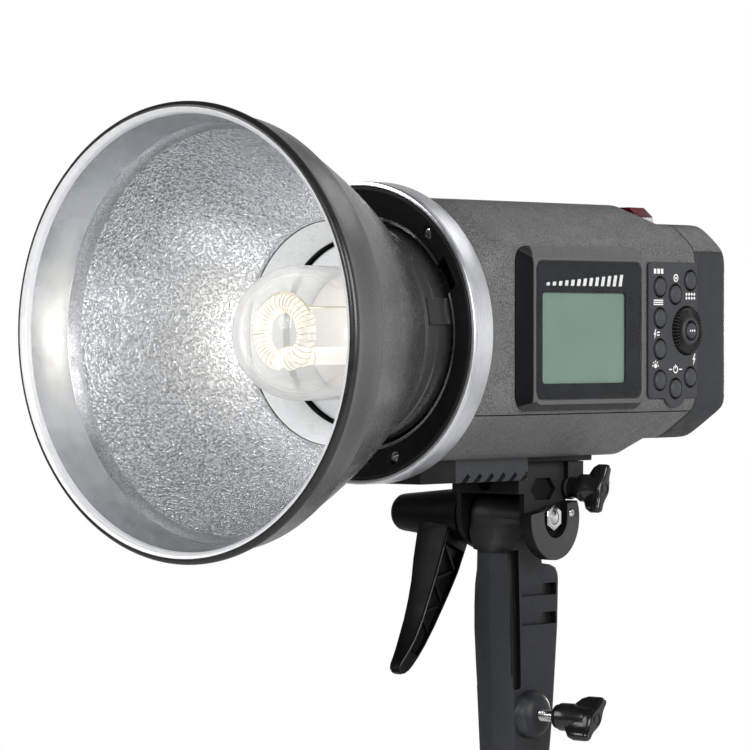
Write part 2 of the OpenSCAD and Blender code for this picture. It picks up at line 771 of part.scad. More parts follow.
// Half widths of the lever's arm at its root, its middle and its tip
module lever_front() {
    half = [[9.4, 0], [8.6, -16], [7.9, -24], [6.8, -33], [6, -42], [5.5, -51], [4.9, -61],
            [3.7, -68], [3.1, -73], [2.2, -76.5]];
    polygon(concat(half, [for (i = [len(half) - 1 : -1 : 0]) [-half[i][0], half[i][1]]]));
}

module tilt_lever() {
    arm_x = -35;
    hub_end = -61;
    color([0.06, 0.06, 0.07]) difference() {
        union() {
            translate([hub_end, 0, tilt_z]) rotate([0, 90, 0])
                cylinder(h = -ear_x - gap - hub_end, r1 = 8.2, r2 = 12.2);
            rod_x(hub_end - 2, hub_end, 6.8, 0, tilt_z);
            translate([0, 0, tilt_z]) rotate([-lever_lean, 0, 0]) intersection() {
                run_x(arm_x - 10, arm_x + 10) lever_side();
                translate([arm_x, 20, 0]) rotate([90, 0, 0]) linear_extrude(40) lever_front();
            }
        }
        rod_x(-55, -10, bolt_r, 0, tilt_z);
        // Ribbed channel in the near side of the arm
        translate([0, 0, tilt_z]) rotate([-lever_lean, 0, 0]) difference() {
            run_x(arm_x + 2.5, arm_x + 10) polygon([
                [-5.2, -16], [6.6, -16], [7.3, -26], [6.9, -36], [5.6, -47], [3.8, -57],
                [2.6, -64], [1.8, -66], [-2.6, -66], [-2.5, -60], [-2, -51], [-2.3, -42],
                [-3.1, -33], [-4.4, -24]]);
            for (i = [0 : 3]) translate([arm_x, -10, -24 - i * 11]) cube([20, 20, 1.2]);
        }
    }
}

// ---- wing screws ----------------------------------------------------------

module wing_screw(x0, x1, y, z) {
    color([0.78, 0.78, 0.8]) rod_x(x0, x1, 2.5, y, z);
}

// Hub that covers the screw's end, with two wings, and a sleeve in front of the hub
module wing_knob(x, depth, y, z, lean, sleeve = 0) {
    color([0.06, 0.06, 0.07]) translate([x, y, z]) rotate([lean, 0, 0]) {
        difference() {
            rotate([0, 90, 0]) union() {
                cylinder(h = depth * 0.8, r = 6);
                translate([0, 0, -sleeve]) cylinder(h = sleeve + 0.5, r = 4.5);
            }
            translate([-sleeve - 1, 0, 0]) rotate([0, 90, 0]) cylinder(h = sleeve + 7, r = 2.5);
        }
        translate([depth * 0.38, 0, 0]) rotate([90, 0, 90]) linear_extrude(depth * 0.62) union() {
            translate([-2.3, -8.6]) square([4.6, 17.2]);
            for (s = [-8.6, 8.6]) translate([0, s]) circle(2.3);
        }
    }
}

module umbrella_screw() { wing_screw(umbrella_r + 0.4, 30, umbrella_at[0], umbrella_at[1]); }
module umbrella_knob() {
    hub_x = 25;
    wing_knob(hub_x, 13.5, umbrella_at[0], umbrella_at[1], -20, hub_x - ear_x - 2.9);
}
module stand_screw() { wing_screw(socket_r + 0.2, 31, 0, stand_screw_z); }
module stand_knob() { wing_knob(25.5, 21, 0, stand_screw_z, -38); }

// ---- handle ---------------------------------------------------------------

module handle_body() {
    color([0.07, 0.07, 0.08]) difference() {
        union() {
            // Column, wider fore and aft at the top than at the socket
            run_x(-handle_hw, handle_hw) polygon([
                [-12.6, 0], [15.6, 0], [18, 20], [21, 60], [21.6, 80], [19, 86], [10, 88],
                [9.5, tilt_z], [-9.8, tilt_z], [-14.5, 95], [-14.8, 85], [-14.8, 60]]);
            intersection() {
                run_x(-head_hw, head_hw) polygon([
                    [-14.6, 92], [-14.5, 95], [-9.8, tilt_z], [9.5, tilt_z], [9.9, 92]]);
                translate([0, 20, 0]) rotate([90, 0, 0]) linear_extrude(40) polygon([
                    [-handle_hw, head_z[0]], [handle_hw, head_z[0]], [head_hw, head_z[1]],
                    [head_hw, tilt_z], [-head_hw, tilt_z], [-head_hw, head_z[1]]]);
            }
            rod_x(-head_hw, head_hw, barrel_r, 0, tilt_z);
            rod_x(0, 17, 10.4, 0, stand_screw_z);
        }
        // Two facets that meet in a ridge down the front
        for (s = [0, 1]) mirror([s, 0, 0]) translate([0, ridge_y, 0])
            rotate([ridge_lean, 0, 0]) rotate([0, 0, facet_angle]) translate([-1, -20, -5])
                cube([30, 20, 125]);
        translate([0, 0, -1]) cylinder(h = socket_depth + 1, r = socket_r);
        rod_x(0, 20, 2.5 + run, 0, stand_screw_z);
        rod_x(-20, 20, bolt_r + run, 0, tilt_z);
        // A groove behind the front face, and two finger slots, on each side
        for (s = [0, 1]) mirror([s, 0, 0]) translate([handle_hw - 1.7, ridge_y, 0])
            rotate([ridge_lean, 0, 0]) translate([0, 3, groove_z[0]])
                cube([3.4, 4.6, groove_z[1] - groove_z[0]]);
        for (s = [-1, 1]) {
            for (z = slot_z) {
                translate([s * handle_hw - 1.5, -6, z - 2.6]) cube([3, 24, 5.2]);
                translate([s * handle_hw - 3, 8.6, z - 2.6]) cube([6, 9.4, 5.2]);
            }
        }
        // Seat of the grip pad
        translate([-8.3, 18.2, 32]) cube([16.6, 12, 26]);
    }
}

module grip_pad() {
    color([0.1, 0.1, 0.1]) intersection() {
        translate([-8, 18.3, 32.3]) cube([16, 8, 25.4]);
        run_x(-9, 9) polygon([[0, 0], [16.2, 0], [18.6, 20], [21.6, 60], [0, 60]]);
    }
}

upper_cover();
lower_cover();
front_bell();
silver_ring();
mount_ring();
mount_screws();
lamp_pan();
lamp_socket();
modelling_lamp();
screen_bezel();
screen_glass();
lcd_panel();
keypad_plate();
sensor_window();
sensor_diffuser();
capacitors();
main_board();
control_board();
battery_bay();
battery_terminals();
fan_frame();
fan_rotor();
jacks();
port_cover();
case_screws();
tilt_bracket();
tilt_boss();
tilt_nut();
tilt_bolt();
tilt_lever();
friction_washers();
umbrella_screw();
umbrella_knob();
glass_dome();
flash_tube();
trigger_wire();
tube_base();
reflector_shell();
reflector_neck();
battery_case();
battery_cap();
battery_cells();
battery_latch();
release_catch();
key_mode();
key_menu();
key_sync_speed();
key_lamp();
key_slave();
key_group();
key_power();
key_test();
dial_ring();
dial_key();
handle_body();
grip_pad();
stand_screw();
stand_knob();
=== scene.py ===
from math import atan2, cos, pi, radians, sin, sqrt

import bmesh
import bpy
import numpy as np
from mathutils import Matrix, Vector


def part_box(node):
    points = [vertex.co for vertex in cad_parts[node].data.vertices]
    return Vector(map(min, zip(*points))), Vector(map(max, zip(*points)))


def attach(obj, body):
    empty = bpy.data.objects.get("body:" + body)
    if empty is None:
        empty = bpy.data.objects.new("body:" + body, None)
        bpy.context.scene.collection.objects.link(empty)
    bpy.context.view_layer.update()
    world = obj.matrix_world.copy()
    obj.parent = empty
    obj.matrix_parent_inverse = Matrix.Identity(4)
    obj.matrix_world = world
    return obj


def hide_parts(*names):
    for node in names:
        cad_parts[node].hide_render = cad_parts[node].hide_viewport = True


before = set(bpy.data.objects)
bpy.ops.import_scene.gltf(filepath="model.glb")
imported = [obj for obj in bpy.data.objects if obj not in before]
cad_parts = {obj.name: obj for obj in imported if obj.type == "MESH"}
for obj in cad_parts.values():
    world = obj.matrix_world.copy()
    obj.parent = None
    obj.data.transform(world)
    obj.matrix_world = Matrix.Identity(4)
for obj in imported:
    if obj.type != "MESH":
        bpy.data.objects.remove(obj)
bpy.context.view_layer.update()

# ---- sizes, in millimetres, taken from the frame ---------------------------

MM = 0.001


def corners(node):
    """Lowest and highest corner of a CAD node at rest, in millimetres."""
    lo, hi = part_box(node)
    return lo / MM, hi / MM


def side_centre(node):
    """Middle of a CAD node that turns or slides along X: its y and z."""
    lo, hi = corners(node)
    return (lo.y + hi.y) / 2, (lo.z + hi.z) / 2


RING_LO, RING_HI = corners("silver_ring")
BOWL_LO, BOWL_HI = corners("reflector_shell")
COVER_LO, COVER_HI = corners("upper_cover")
CAP_LO, CAP_HI = corners("battery_cap")
DOME_LO, DOME_HI = corners("glass_dome")

AXIS_Z = (RING_LO.z + RING_HI.z) / 2
RING_R = RING_HI.x
RIM_Y = BOWL_LO.y
RIM_R = BOWL_HI.x
SHOULDER_Y = RING_HI.y + 0.2
SEAM_Y = COVER_HI.y
SPLIT_Z = COVER_LO.z - AXIS_Z
BODY_W = CAP_HI.x
BODY_TOP = 55.5
BODY_BOTTOM = 53.0
CAP_TOP = CAP_HI.z - AXIS_Z
CAP_BOTTOM = AXIS_Z - CAP_LO.z
PANEL_X = BODY_W


# ---- shapes: a shape is (points, faces) in millimetres ----------------------

def loft(rows, closed=False, caps=True):
    """Skin over rings that have the same number of points."""
    n, m = len(rows[0]), len(rows)
    points = [tuple(p) for row in rows for p in row]
    last = m if closed else m - 1
    faces = [
        (i * n + j, i * n + (j + 1) % n, (i + 1) % m * n + (j + 1) % n, (i + 1) % m * n + j)
        for i in range(last) for j in range(n)
    ]
    if caps and not closed:
        faces += [tuple(range(n)), tuple(range((m - 1) * n, m * n))]
    return points, faces


def on_axis(r, a, y):
    """Point at radius r and angle a, from +X towards +Z, about the optical axis."""
    return r * cos(a), y, AXIS_Z + r * sin(a)


def place(axis, u, v, w):
    """Point with w along the axis and u, v along the other two, in order."""
    return ((w, u, v), (u, w, v), (u, v, w))[axis]


def turn(profile, axis, u, v, n=48, closed=False):
    """(w, radius) pairs turned about the line along an axis through (u, v)."""
    rows = [[place(axis, u + r * cos(2 * pi * j / n), v + r * sin(2 * pi * j / n), w)
             for j in range(n)] for w, r in profile]
    return loft(rows, closed)


def turn_x(profile, y, z, n=48, closed=False):
    return turn(profile, 0, y, z, n, closed)


def rod(x0, x1, r, y, z, n=48):
    """Plain cylinder along X."""
    return turn_x([(x0, r), (x1, r)], y, z, n)


def turn_y(profile, n):
    """(radius, y) pairs turned about the optical axis, joined end to end."""
    return turn([(y, r) for r, y in profile], 1, 0, AXIS_Z, n, True)


def prism(outline, axis, w0, w1):
    """Outline in the other two axes, run along one axis."""
    return loft([[place(axis, u, v, w) for u, v in outline] for w in (w0, w1)])


def block(x0, x1, y0, y1, z0, z1):
    return prism([(x0, y0), (x1, y0), (x1, y1), (x0, y1)], 2, z0, z1)


def arc(cu, cv, r, a0, a1, steps):
    """Points on an arc, angles in degrees."""
    return [
        (cu + r * cos(radians(a0 + (a1 - a0) * i / steps)),
         cv + r * sin(radians(a0 + (a1 - a0) * i / steps)))
        for i in range(steps + 1)
    ]


def soft_rect(u0, u1, v0, v1, r, steps=6):
    """Rectangle with round corners."""
    return (arc(u1 - r, v1 - r, r, 0, 90, steps) + arc(u0 + r, v1 - r, r, 90, 180, steps)
            + arc(u0 + r, v0 + r, r, 180, 270, steps) + arc(u1 - r, v0 + r, r, 270, 360, steps))


def moved(shape, matrix):
    return [tuple(matrix @ Vector(p)) for p in shape[0]], shape[1]


def tilt_about_x(degrees, y, z):
    """Turn about a line along X through (y, z)."""
    at = Matrix.Translation((0, y, z))
    return at @ Matrix.Rotation(radians(degrees), 4, "X") @ at.inverted()


def turned(shape, degrees):
    """Shape turned about the optical axis, from +X towards +Z."""
    at = Matrix.Translation((0, 0, AXIS_Z))
    return moved(shape, at @ Matrix.Rotation(radians(-degrees), 4, "Y") @ at.inverted())


# ---- pieces -----------------------------------------------------------------

def shade(mesh, sharp):
    mesh.polygons.foreach_set("use_smooth", [True] * len(mesh.polygons))
    mesh.set_sharp_from_angle(angle=radians(sharp))


def show(thing):
    bpy.context.scene.collection.objects.link(thing)
    return thing


def mesh_object(name, shapes, bevel=0.0, segments=2):
    """Object of one or more shapes, with its sharp edges rounded by bevel."""
    bm = bmesh.new()
    for points, faces in shapes:
        verts = [bm.verts.new(Vector(p) * MM) for p in points]
        for face in faces:
            bm.faces.new([verts[i] for i in face])
    bmesh.ops.recalc_face_normals(bm, faces=bm.faces)
    if bevel:
        edges = [e for e in bm.edges if e.calc_face_angle(0) > radians(25)]
        bmesh.ops.bevel(bm, geom=edges, offset=bevel * MM, segments=segments, profile=0.5,
                        affect="EDGES", clamp_overlap=True)
    mesh = bpy.data.meshes.new(name)
    bm.to_mesh(mesh)
    bm.free()
    piece = bpy.data.objects.new(name, mesh)
    return show(piece)


def combine(piece, shapes, operation):
    """Boolean of the piece with each shape."""
    tools = [mesh_object(f"tool_{i}", [s]) for i, s in enumerate(shapes)]
    for tool in tools:
        step = piece.modifiers.new("combine", "BOOLEAN")
        step.operation = operation
        step.solver = "EXACT"
        step.object = tool
    bpy.context.view_layer.update()
    done = piece.evaluated_get(bpy.context.evaluated_depsgraph_get())
    mesh = bpy.data.meshes.new_from_object(done)
    piece.modifiers.clear()
    piece.data = mesh
    for tool in tools:
        bpy.data.objects.remove(tool)
    return piece


def cut(piece, *shapes):
    return combine(piece, shapes, "DIFFERENCE")


def add(piece, *shapes):
    return combine(piece, shapes, "UNION")


def fit(piece, body, slot, node, *looks, pick=None, sharp=32):
    """Shades the piece, gives it its materials and its body, and hides the CAD node it replaces.

    pick gives each face the number of its material, from its centre and its normal."""
    shade(piece.data, sharp)
    piece.data.materials.clear()
    for look in looks:
        piece.data.materials.append(material(look))
    if pick:
        for face in piece.data.polygons:
            face.material_index = pick(face.center / MM, face.normal)
    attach(piece, body)
    if node:
        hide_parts(node)
    return piece


def round_axis(centre, normal):
    """A face's radius about the optical axis, and whether it looks away from the axis."""
    z = centre.z - AXIS_Z
    return sqrt(centre.x ** 2 + z ** 2), normal.x * centre.x + normal.z * z > 0


# ---- materials --------------------------------------------------------------

def shader(name):
    made = bpy.data.materials.new(name)
    made.use_nodes = True
    return made, made.node_tree, made.node_tree.nodes["Principled BSDF"]


def grain(tree, size, detail=3.0, stretch=(1, 1, 1)):
    """Noise with features about size millimetres across."""
    place_at = tree.nodes.new("ShaderNodeTexCoord")
    scaled = tree.nodes.new("ShaderNodeMapping")
    scaled.inputs["Scale"].default_value = [s / (size * MM) for s in stretch]
    tree.links.new(place_at.outputs["Object"], scaled.inputs["Vector"])
    pattern = tree.nodes.new("ShaderNodeTexNoise")
    pattern.inputs["Scale"].default_value = 1.0
    pattern.inputs["Detail"].default_value = detail
    tree.links.new(scaled.outputs["Vector"], pattern.inputs["Vector"])
    return pattern.outputs["Fac"]


def remap(tree, value, source, target=(0, 1), smooth=False):
    """Value from the ends of source mapped to the ends of target."""
    node = tree.nodes.new("ShaderNodeMapRange")
    if smooth:
        node.interpolation_type = "SMOOTHSTEP"
    for name, level in zip(("From Min", "From Max", "To Min", "To Max"), (*source, *target)):
        node.inputs[name].default_value = level
    tree.links.new(value, node.inputs["Value"])
    return node.outputs["Result"]


def spread(tree, noise, low, high):
    """Noise, which is mostly from 0.3 to 0.7, mapped to low and high."""
    return remap(tree, noise, (0.3, 0.7), (low, high))


def mixed(tree, factor, first, second):
    """Colour from first to second, each a colour or a socket."""
    node = tree.nodes.new("ShaderNodeMix")
    node.data_type = "RGBA"
    for name, colour in (("A", first), ("B", second)):
        if isinstance(colour, tuple):
            node.inputs[name].default_value = (*colour, 1)
        else:
            tree.links.new(colour, node.inputs[name])
    tree.links.new(factor, node.inputs["Factor"])
    return node.outputs["Result"]


def tint(tree, noise, dark, light):
    return mixed(tree, spread(tree, noise, 0, 1), dark, light)


def raised(tree, value, height):
    """Bump normal from a value, height in millimetres."""
    node = tree.nodes.new("ShaderNodeBump")
    node.inputs["Distance"].default_value = height * MM
    node.inputs["Strength"].default_value = 1.0
    tree.links.new(value, node.inputs["Height"])
    return node.outputs["Normal"]


def drive(tree, bsdf, **sockets):
    """Links outputs to the shader's inputs; an underscore stands for a space."""
    for name, output in sockets.items():
        tree.links.new(output, bsdf.inputs[name.replace("_", " ")])


def finish_of(name, dark, light, size, rough, height, metal=0.0, detail=3.0,
              stretch=(1, 1, 1), specular=0.5):
    """Moulded, painted or turned surface: fine grain in colour and relief, and
    broad patches in gloss."""
    made, tree, bsdf = shader(name)
    fine = grain(tree, size, detail, stretch)
    broad = grain(tree, 6.0, 2.0)
    drive(tree, bsdf, Base_Color=tint(tree, fine, dark, light),
          Roughness=spread(tree, broad, *rough), Normal=raised(tree, fine, height))
    bsdf.inputs["Metallic"].default_value = metal
    bsdf.inputs["Specular IOR Level"].default_value = specular
    return made


def grey(v):
    return v, v, v


# Each finish: dark and light colour, size of the grain in millimetres, least and most
# roughness, height of the grain in millimetres, then what isn't as finish_of has it
FINISHES = {
    "housing_plastic": (grey(0.03), grey(0.19), 0.55, (0.4, 0.54), 0.06, {"specular": 0.35}),
    "battery_plastic": ((0.025, 0.026, 0.028), (0.042, 0.044, 0.047), 0.45, (0.45, 0.6), 0.04,
                        {"specular": 0.25}),
    "keypad_skin": ((0.036, 0.037, 0.039), (0.054, 0.056, 0.059), 0.4, (0.5, 0.62), 0.03,
                    {"specular": 0.25}),
    "key_plastic": ((0.034, 0.035, 0.037), (0.056, 0.058, 0.061), 0.5, (0.42, 0.52), 0.02,
                    {"specular": 0.3}),
    "bell_plastic": (grey(0.013), grey(0.027), 0.4, (0.4, 0.55), 0.03, {"specular": 0.2}),
    "black_plastic": (grey(0.004), grey(0.008), 0.5, (0.28, 0.4), 0.03, {"specular": 0.3}),
    # Painted shade on the bezel's downward bottom slope
    "bezel_under_painted_shade": (grey(0.015), grey(0.04), 0.5, (0.45, 0.58), 0.04, {"specular": 0.2}),
    "bracket_paint": (grey(0.005), grey(0.01), 0.35, (0.4, 0.55), 0.03, {"specular": 0.15}),
    # Lighter copy of the bracket paint for the near ear's outer face: painted light
    "bracket_side_painted_light": (grey(0.012), grey(0.021), 0.35, (0.4, 0.55), 0.03, {"specular": 0.25}),
    # Boss's outer face painted lighter than its recess and sides: painted light and shade
    "boss_face_painted_light": (grey(0.026), grey(0.042), 0.3, (0.45, 0.55), 0.02, {}),
    "lever_plastic": (grey(0.003), grey(0.006), 0.5, (0.3, 0.4), 0.01, {"specular": 0.08}),
    "knob_plastic": (grey(0.006), grey(0.011), 0.5, (0.18, 0.28), 0.01, {"specular": 0.6}),
    "handle_plastic": ((0.013, 0.014, 0.015), (0.021, 0.022, 0.024), 0.5, (0.4, 0.52), 0.03,
                       {"specular": 0.25}),
    # Lighter copy of the handle plastic for its front faces: painted light
    "handle_front_painted_light": ((0.024, 0.026, 0.028), (0.036, 0.038, 0.041), 0.5, (0.35, 0.48), 0.02,
                     {"specular": 0.3}),
    "soft_rubber": (grey(0.012), grey(0.02), 0.3, (0.6, 0.75), 0.02, {}),
    "reflector_paint": (grey(0.1), grey(0.13), 0.35, (0.24, 0.3), 0.008, {"metal": 0.6}),
    "bead_paint": (grey(0.01), grey(0.02), 0.4, (0.25, 0.35), 0.01, {}),
    "bright_band": ((0.72, 0.74, 0.76), (0.82, 0.83, 0.84), 9.0, (0.2, 0.27), 0.01,
                    {"metal": 1.0, "detail": 1.0}),
    "speckled_ledge": ((0.3, 0.31, 0.32), (0.75, 0.76, 0.78), 0.6, (0.3, 0.5), 0.1,
                       {"metal": 1.0}),
    "bright_lip": ((0.88, 0.89, 0.9), (0.95, 0.96, 0.97), 3.0, (0.3, 0.4), 0.004,
                   {"metal": 0.25}),
    "turned_aluminium": ((0.78, 0.8, 0.82), (0.92, 0.93, 0.95), 0.5, (0.3, 0.4), 0.006,
                         {"metal": 1.0, "stretch": (0.12, 1, 0.12)}),
    "bright_steel": ((0.66, 0.66, 0.67), (0.8, 0.8, 0.81), 0.5, (0.12, 0.22), 0.01,
                     {"metal": 1.0}),
    "brass": ((0.62, 0.42, 0.14), (0.78, 0.58, 0.26), 0.5, (0.2, 0.32), 0.006,
              {"metal": 1.0}),
    "trigger_gold": ((0.8, 0.66, 0.4), (0.95, 0.84, 0.6), 0.4, (0.18, 0.3), 0.004,
                     {"metal": 0.8}),
    # White enamel of the pan; on the neck's collar the same white is a painted reflection of the
    # bright room
    "white_enamel_and_painted_reflection": ((0.8, 0.83, 0.85), (0.88, 0.9, 0.91), 1.6, (0.25, 0.4), 0.12, {}),
    "lamp_ceramic": ((0.74, 0.72, 0.67), (0.85, 0.83, 0.79), 0.8, (0.4, 0.6), 0.03, {}),
    "screen_black": ((0.007, 0.008, 0.010), (0.013, 0.015, 0.018), 12.0, (0.1, 0.16), 0.002,
                     {"detail": 1.0, "specular": 0.2}),
    "milky_diffuser": ((0.52, 0.52, 0.51), (0.6, 0.6, 0.59), 3.0, (0.3, 0.45), 0.01, {}),
    "printed_white": ((0.75, 0.75, 0.76), (0.88, 0.88, 0.89), 0.5, (0.45, 0.6), 0.004, {}),
    "board_green": ((0.01, 0.07, 0.03), (0.02, 0.13, 0.05), 1.5, (0.3, 0.45), 0.02, {}),
    "capacitor_sleeve": ((0.01, 0.02, 0.07), (0.02, 0.04, 0.12), 2.0, (0.25, 0.4), 0.01, {}),
    "cell_sleeve": ((0.02, 0.1, 0.16), (0.04, 0.16, 0.24), 2.0, (0.25, 0.4), 0.01, {}),
}


def bright_pebble(name):
    """Hammertone aluminium: small irregular islands with soft sides."""
    made, tree, bsdf = shader(name)
    islands = grain(tree, 1.25, 0.5)
    relief = remap(tree, islands, (0.4, 0.58), smooth=True)
    drive(tree, bsdf,
          Base_Color=tint(tree, islands, (0.62, 0.635, 0.66), (0.93, 0.94, 0.955)),
          Roughness=spread(tree, grain(tree, 9.0), 0.2, 0.28),
          Normal=raised(tree, relief, 0.3))
    bsdf.inputs["Metallic"].default_value = 1.0
    return made


def facing(tree):
    """0 where a surface faces the eye, 1 at its outline."""
    node = tree.nodes.new("ShaderNodeLayerWeight")
    node.inputs["Blend"].default_value = 0.5
    return node.outputs["Facing"]


def clear_glass(name, face, edge, tone, specular=0.5):
    """Clear glass: see-through from the front, bright and glossy towards its outline."""
    made, tree, bsdf = shader(name)
    waves = grain(tree, 9.0, 1.0)
    drive(tree, bsdf, Alpha=remap(tree, facing(tree), (0.42, 1.0), (face, edge), smooth=True),
          Base_Color=tint(tree, waves, grey(0.9 * tone), grey(tone)),
          Roughness=spread(tree, waves, 0.03, 0.1))
    bsdf.inputs["Specular IOR Level"].default_value = specular
    return made


def tube_glass(name):
    """Quartz of the flash tube, milky towards its outline, with a painted glow."""
    made, tree, bsdf = shader(name)
    milk = grain(tree, 2.5, 2.0)
    drive(tree, bsdf, Alpha=remap(tree, facing(tree), (0.1, 0.8), (0.4, 0.95)),
          Base_Color=tint(tree, milk, (0.93, 0.9, 0.83), (0.99, 0.98, 0.95)),
          Roughness=spread(tree, milk, 0.06, 0.2))
    # Painted glow: the unlit tube is made to shine
    bsdf.inputs["Emission Color"].default_value = (1.0, 0.98, 0.93, 1)
    bsdf.inputs["Emission Strength"].default_value = 0.45
    return made


def lcd_glass(name):
    """Unlit grey-green display."""
    made, tree, bsdf = shader(name)
    cloud = grain(tree, 26.0, 1.0)
    drive(tree, bsdf, Base_Color=tint(tree, cloud, (0.16, 0.24, 0.2), (0.185, 0.278, 0.235)),
          Roughness=spread(tree, cloud, 0.3, 0.42))
    return made


def red_window(name):
    """Deep red filter that lets some light through."""
    made, tree, bsdf = shader(name)
    depth = grain(tree, 5.0, 1.0)
    drive(tree, bsdf, Base_Color=tint(tree, depth, (0.09, 0.003, 0.008), (0.17, 0.008, 0.016)),
          Roughness=spread(tree, depth, 0.06, 0.14))
    bsdf.inputs["Transmission Weight"].default_value = 0.35
    return made


def bezel_painted_shade(name, specular):
    """Housing plastic with painted shade: black on the frame's front slope, fading to plain
    plastic behind it.
    """
    made, tree, bsdf = shader(name)
    fine = grain(tree, 0.5)
    place_at = tree.nodes.new("ShaderNodeTexCoord")
    split = tree.nodes.new("ShaderNodeSeparateXYZ")
    tree.links.new(place_at.outputs["Object"], split.inputs["Vector"])
    # Painted shade: 1 on the bezel's front slope, 0 behind it
    slope = remap(tree, split.outputs["Y"], (SLOPE_Y1 * MM, SLOPE_Y0 * MM), smooth=True)
    plain = tint(tree, fine, grey(0.06), grey(0.125))
    drive(tree, bsdf, Base_Color=mixed(tree, slope, plain, (0.004, 0.004, 0.005)),
          Roughness=spread(tree, grain(tree, 6.0, 2.0), 0.42, 0.55),
          Normal=raised(tree, fine, 0.04))
    bsdf.inputs["Specular IOR Level"].default_value = specular
    return made


# Materials with a build of their own: the function, and what it takes after the name
SPECIAL = {
    "bright_pebble": (bright_pebble,),
    "tube_glass": (tube_glass,),
    "lcd_glass": (lcd_glass,),
    "red_window": (red_window,),
    "dome_glass": (clear_glass, 0.24, 0.8, 1.0),
    "screen_sheet": (clear_glass, 0.05, 0.2, 0.02, 0.25),
    # The bezel's two materials carry painted shade on the front slope
    "bezel_painted_shade": (bezel_painted_shade, 0.35),
    "bezel_slope_painted_shade": (bezel_painted_shade, 0.05),
}
MADE = {}


def material(name):
    """The material of that name, made once."""
    if name not in MADE:
        if name in SPECIAL:
            build, *values = SPECIAL[name]
            MADE[name] = build(name, *values)
        else:
            *values, extra = FINISHES[name]
            MADE[name] = finish_of(name, *values, **extra)
    return MADE[name]


# ---- reflector --------------------------------------------------------------

BOWL_FRONT = 28.0
BOWL_BACK = BOWL_HI.y - RIM_Y - 2.4
BEAD_R = 2.4


def bowl_r(depth):
    """Inside radius of the bowl at a depth behind the rim: a parabola."""
    return sqrt(70.8 * (120.7 - depth))


def bowl_depths(steps):
    """Depths of the bowl's rings between the ledge and the neck."""
    return [BOWL_FRONT + (BOWL_BACK - BOWL_FRONT) * i / steps for i in range(steps + 1)]


def reflector_bowl():
    """Spun bowl: rolled bead, smooth band, ledge, hammered bowl, and painted outside."""
    bead = [
        (RIM_R - BEAD_R + BEAD_R * cos(radians(a)), BEAD_R + BEAD_R * sin(radians(a)))
        for a in range(50, -200, -10)
    ]
    band = [(86.1, 3.9), (85.6, 6), (84.9, 12), (84.2, 18), (83.7, 22), (83.5, 22.7),
            (83.0, 23.3), (81.4, 26.8)]
    back = [(46.4, BOWL_BACK + 0.9), (46.5, BOWL_BACK + 2.4), (48.6, BOWL_BACK + 2.4),
            (49, BOWL_BACK + 2.1)]
    inside = [(bowl_r(d), d) for d in bowl_depths(40)]
    outside = [(bowl_r(d) + 2.2 + 1.2 * i / 24, d + 0.6) for i, d in enumerate(bowl_depths(24))]
    front = [(84.6, 25.2), (85.1, 24.1), (85.3, 23.3), (85.9, 22.4), (86.5, 22.1),
             (86.9, 21.2), (87.6, 15), (88.4, 9), (89.0, 5.6), (89.5, 4.6)]
    profile = bead + band + inside + back + outside[::-1] + front
    bowl = mesh_object("reflector_bowl", [turn_y([(r, RIM_Y + d) for r, d in profile], 288)])

    def pick(centre, normal):
        depth = centre.y - RIM_Y
        r, out = round_axis(centre, normal)
        if depth < 5.2 and (r > 88.4 or out):
            return 4
        if depth < 3.6:
            return 3
        if out:
            return 0
        if depth < 23:
            return 1
        return 2 if depth < BOWL_FRONT - 0.2 else 5

    fit(bowl, "reflector", "reflector_metal", "reflector_shell", "reflector_paint",
        "bright_band", "speckled_ledge", "bright_lip", "bead_paint", "bright_pebble",
        pick=pick, sharp=40)


# The first foot and lug's angle from +X, and the lugs' front and back
FOOT_ANGLE = 11
LUG_Y0, LUG_Y1 = -93.6, -91.6


def reflector_neck():
    """Collar with its smooth bright inside, its raised feet and its three lugs."""
    inner, outer, rim = 39.5, 45.0, 48.8
    back = corners("reflector_neck")[1].y
    y0 = RIM_Y + BOWL_BACK + 2.45
    profile = [(46.2, y0), (44.6, y0 + 2.2), (42.6, y0 + 5.6), (40.6, y0 + 10),
               (inner, y0 + 13), (inner, back - 0.4), (inner + 0.4, back), (outer - 0.4, back),
               (outer, back - 0.4), (outer, y0 + 12.8), (outer - 0.5, y0 + 12.4),
               (outer - 0.5, y0 + 11.8), (outer, y0 + 11.4), (outer, y0 + 4.4),
               (rim - 0.6, y0 + 2.6), (rim, y0 + 2.2), (rim, y0)]
    neck = mesh_object("reflector_neck_tube", [turn_y(profile, 192)])
    feet = []
    for k in range(3):
        foot = block(44.2, 46.1, RIM_Y + 99, RIM_Y + 117, AXIS_Z - 5.4, AXIS_Z + 5.4)
        feet.append(turned(foot, FOOT_ANGLE + 120 * k))
        lug = loft([[(r * cos(a), y, AXIS_Z + r * sin(a)) for r, y in
                     ((43.6, LUG_Y0), (52.2, LUG_Y0), (52.2, LUG_Y1), (43.6, LUG_Y1))]
                    for a in [radians(-6.2 + 12.4 * i / 8) for i in range(9)]])
        feet.append(turned(lug, FOOT_ANGLE + 120 * k))
    add(neck, *feet)

    def pick(centre, normal):
        r, out = round_axis(centre, normal)
        if out:
            return 0
        # Collar's inside: diffuse white as painted reflection
        return 1 if r < 46.2 and centre.y < back - 8 else 2

    fit(neck, "reflector", "reflector_metal", "reflector_neck", "reflector_paint",
        "white_enamel_and_painted_reflection", "black_plastic", pick=pick)


# ---- lamp -------------------------------------------------------------------

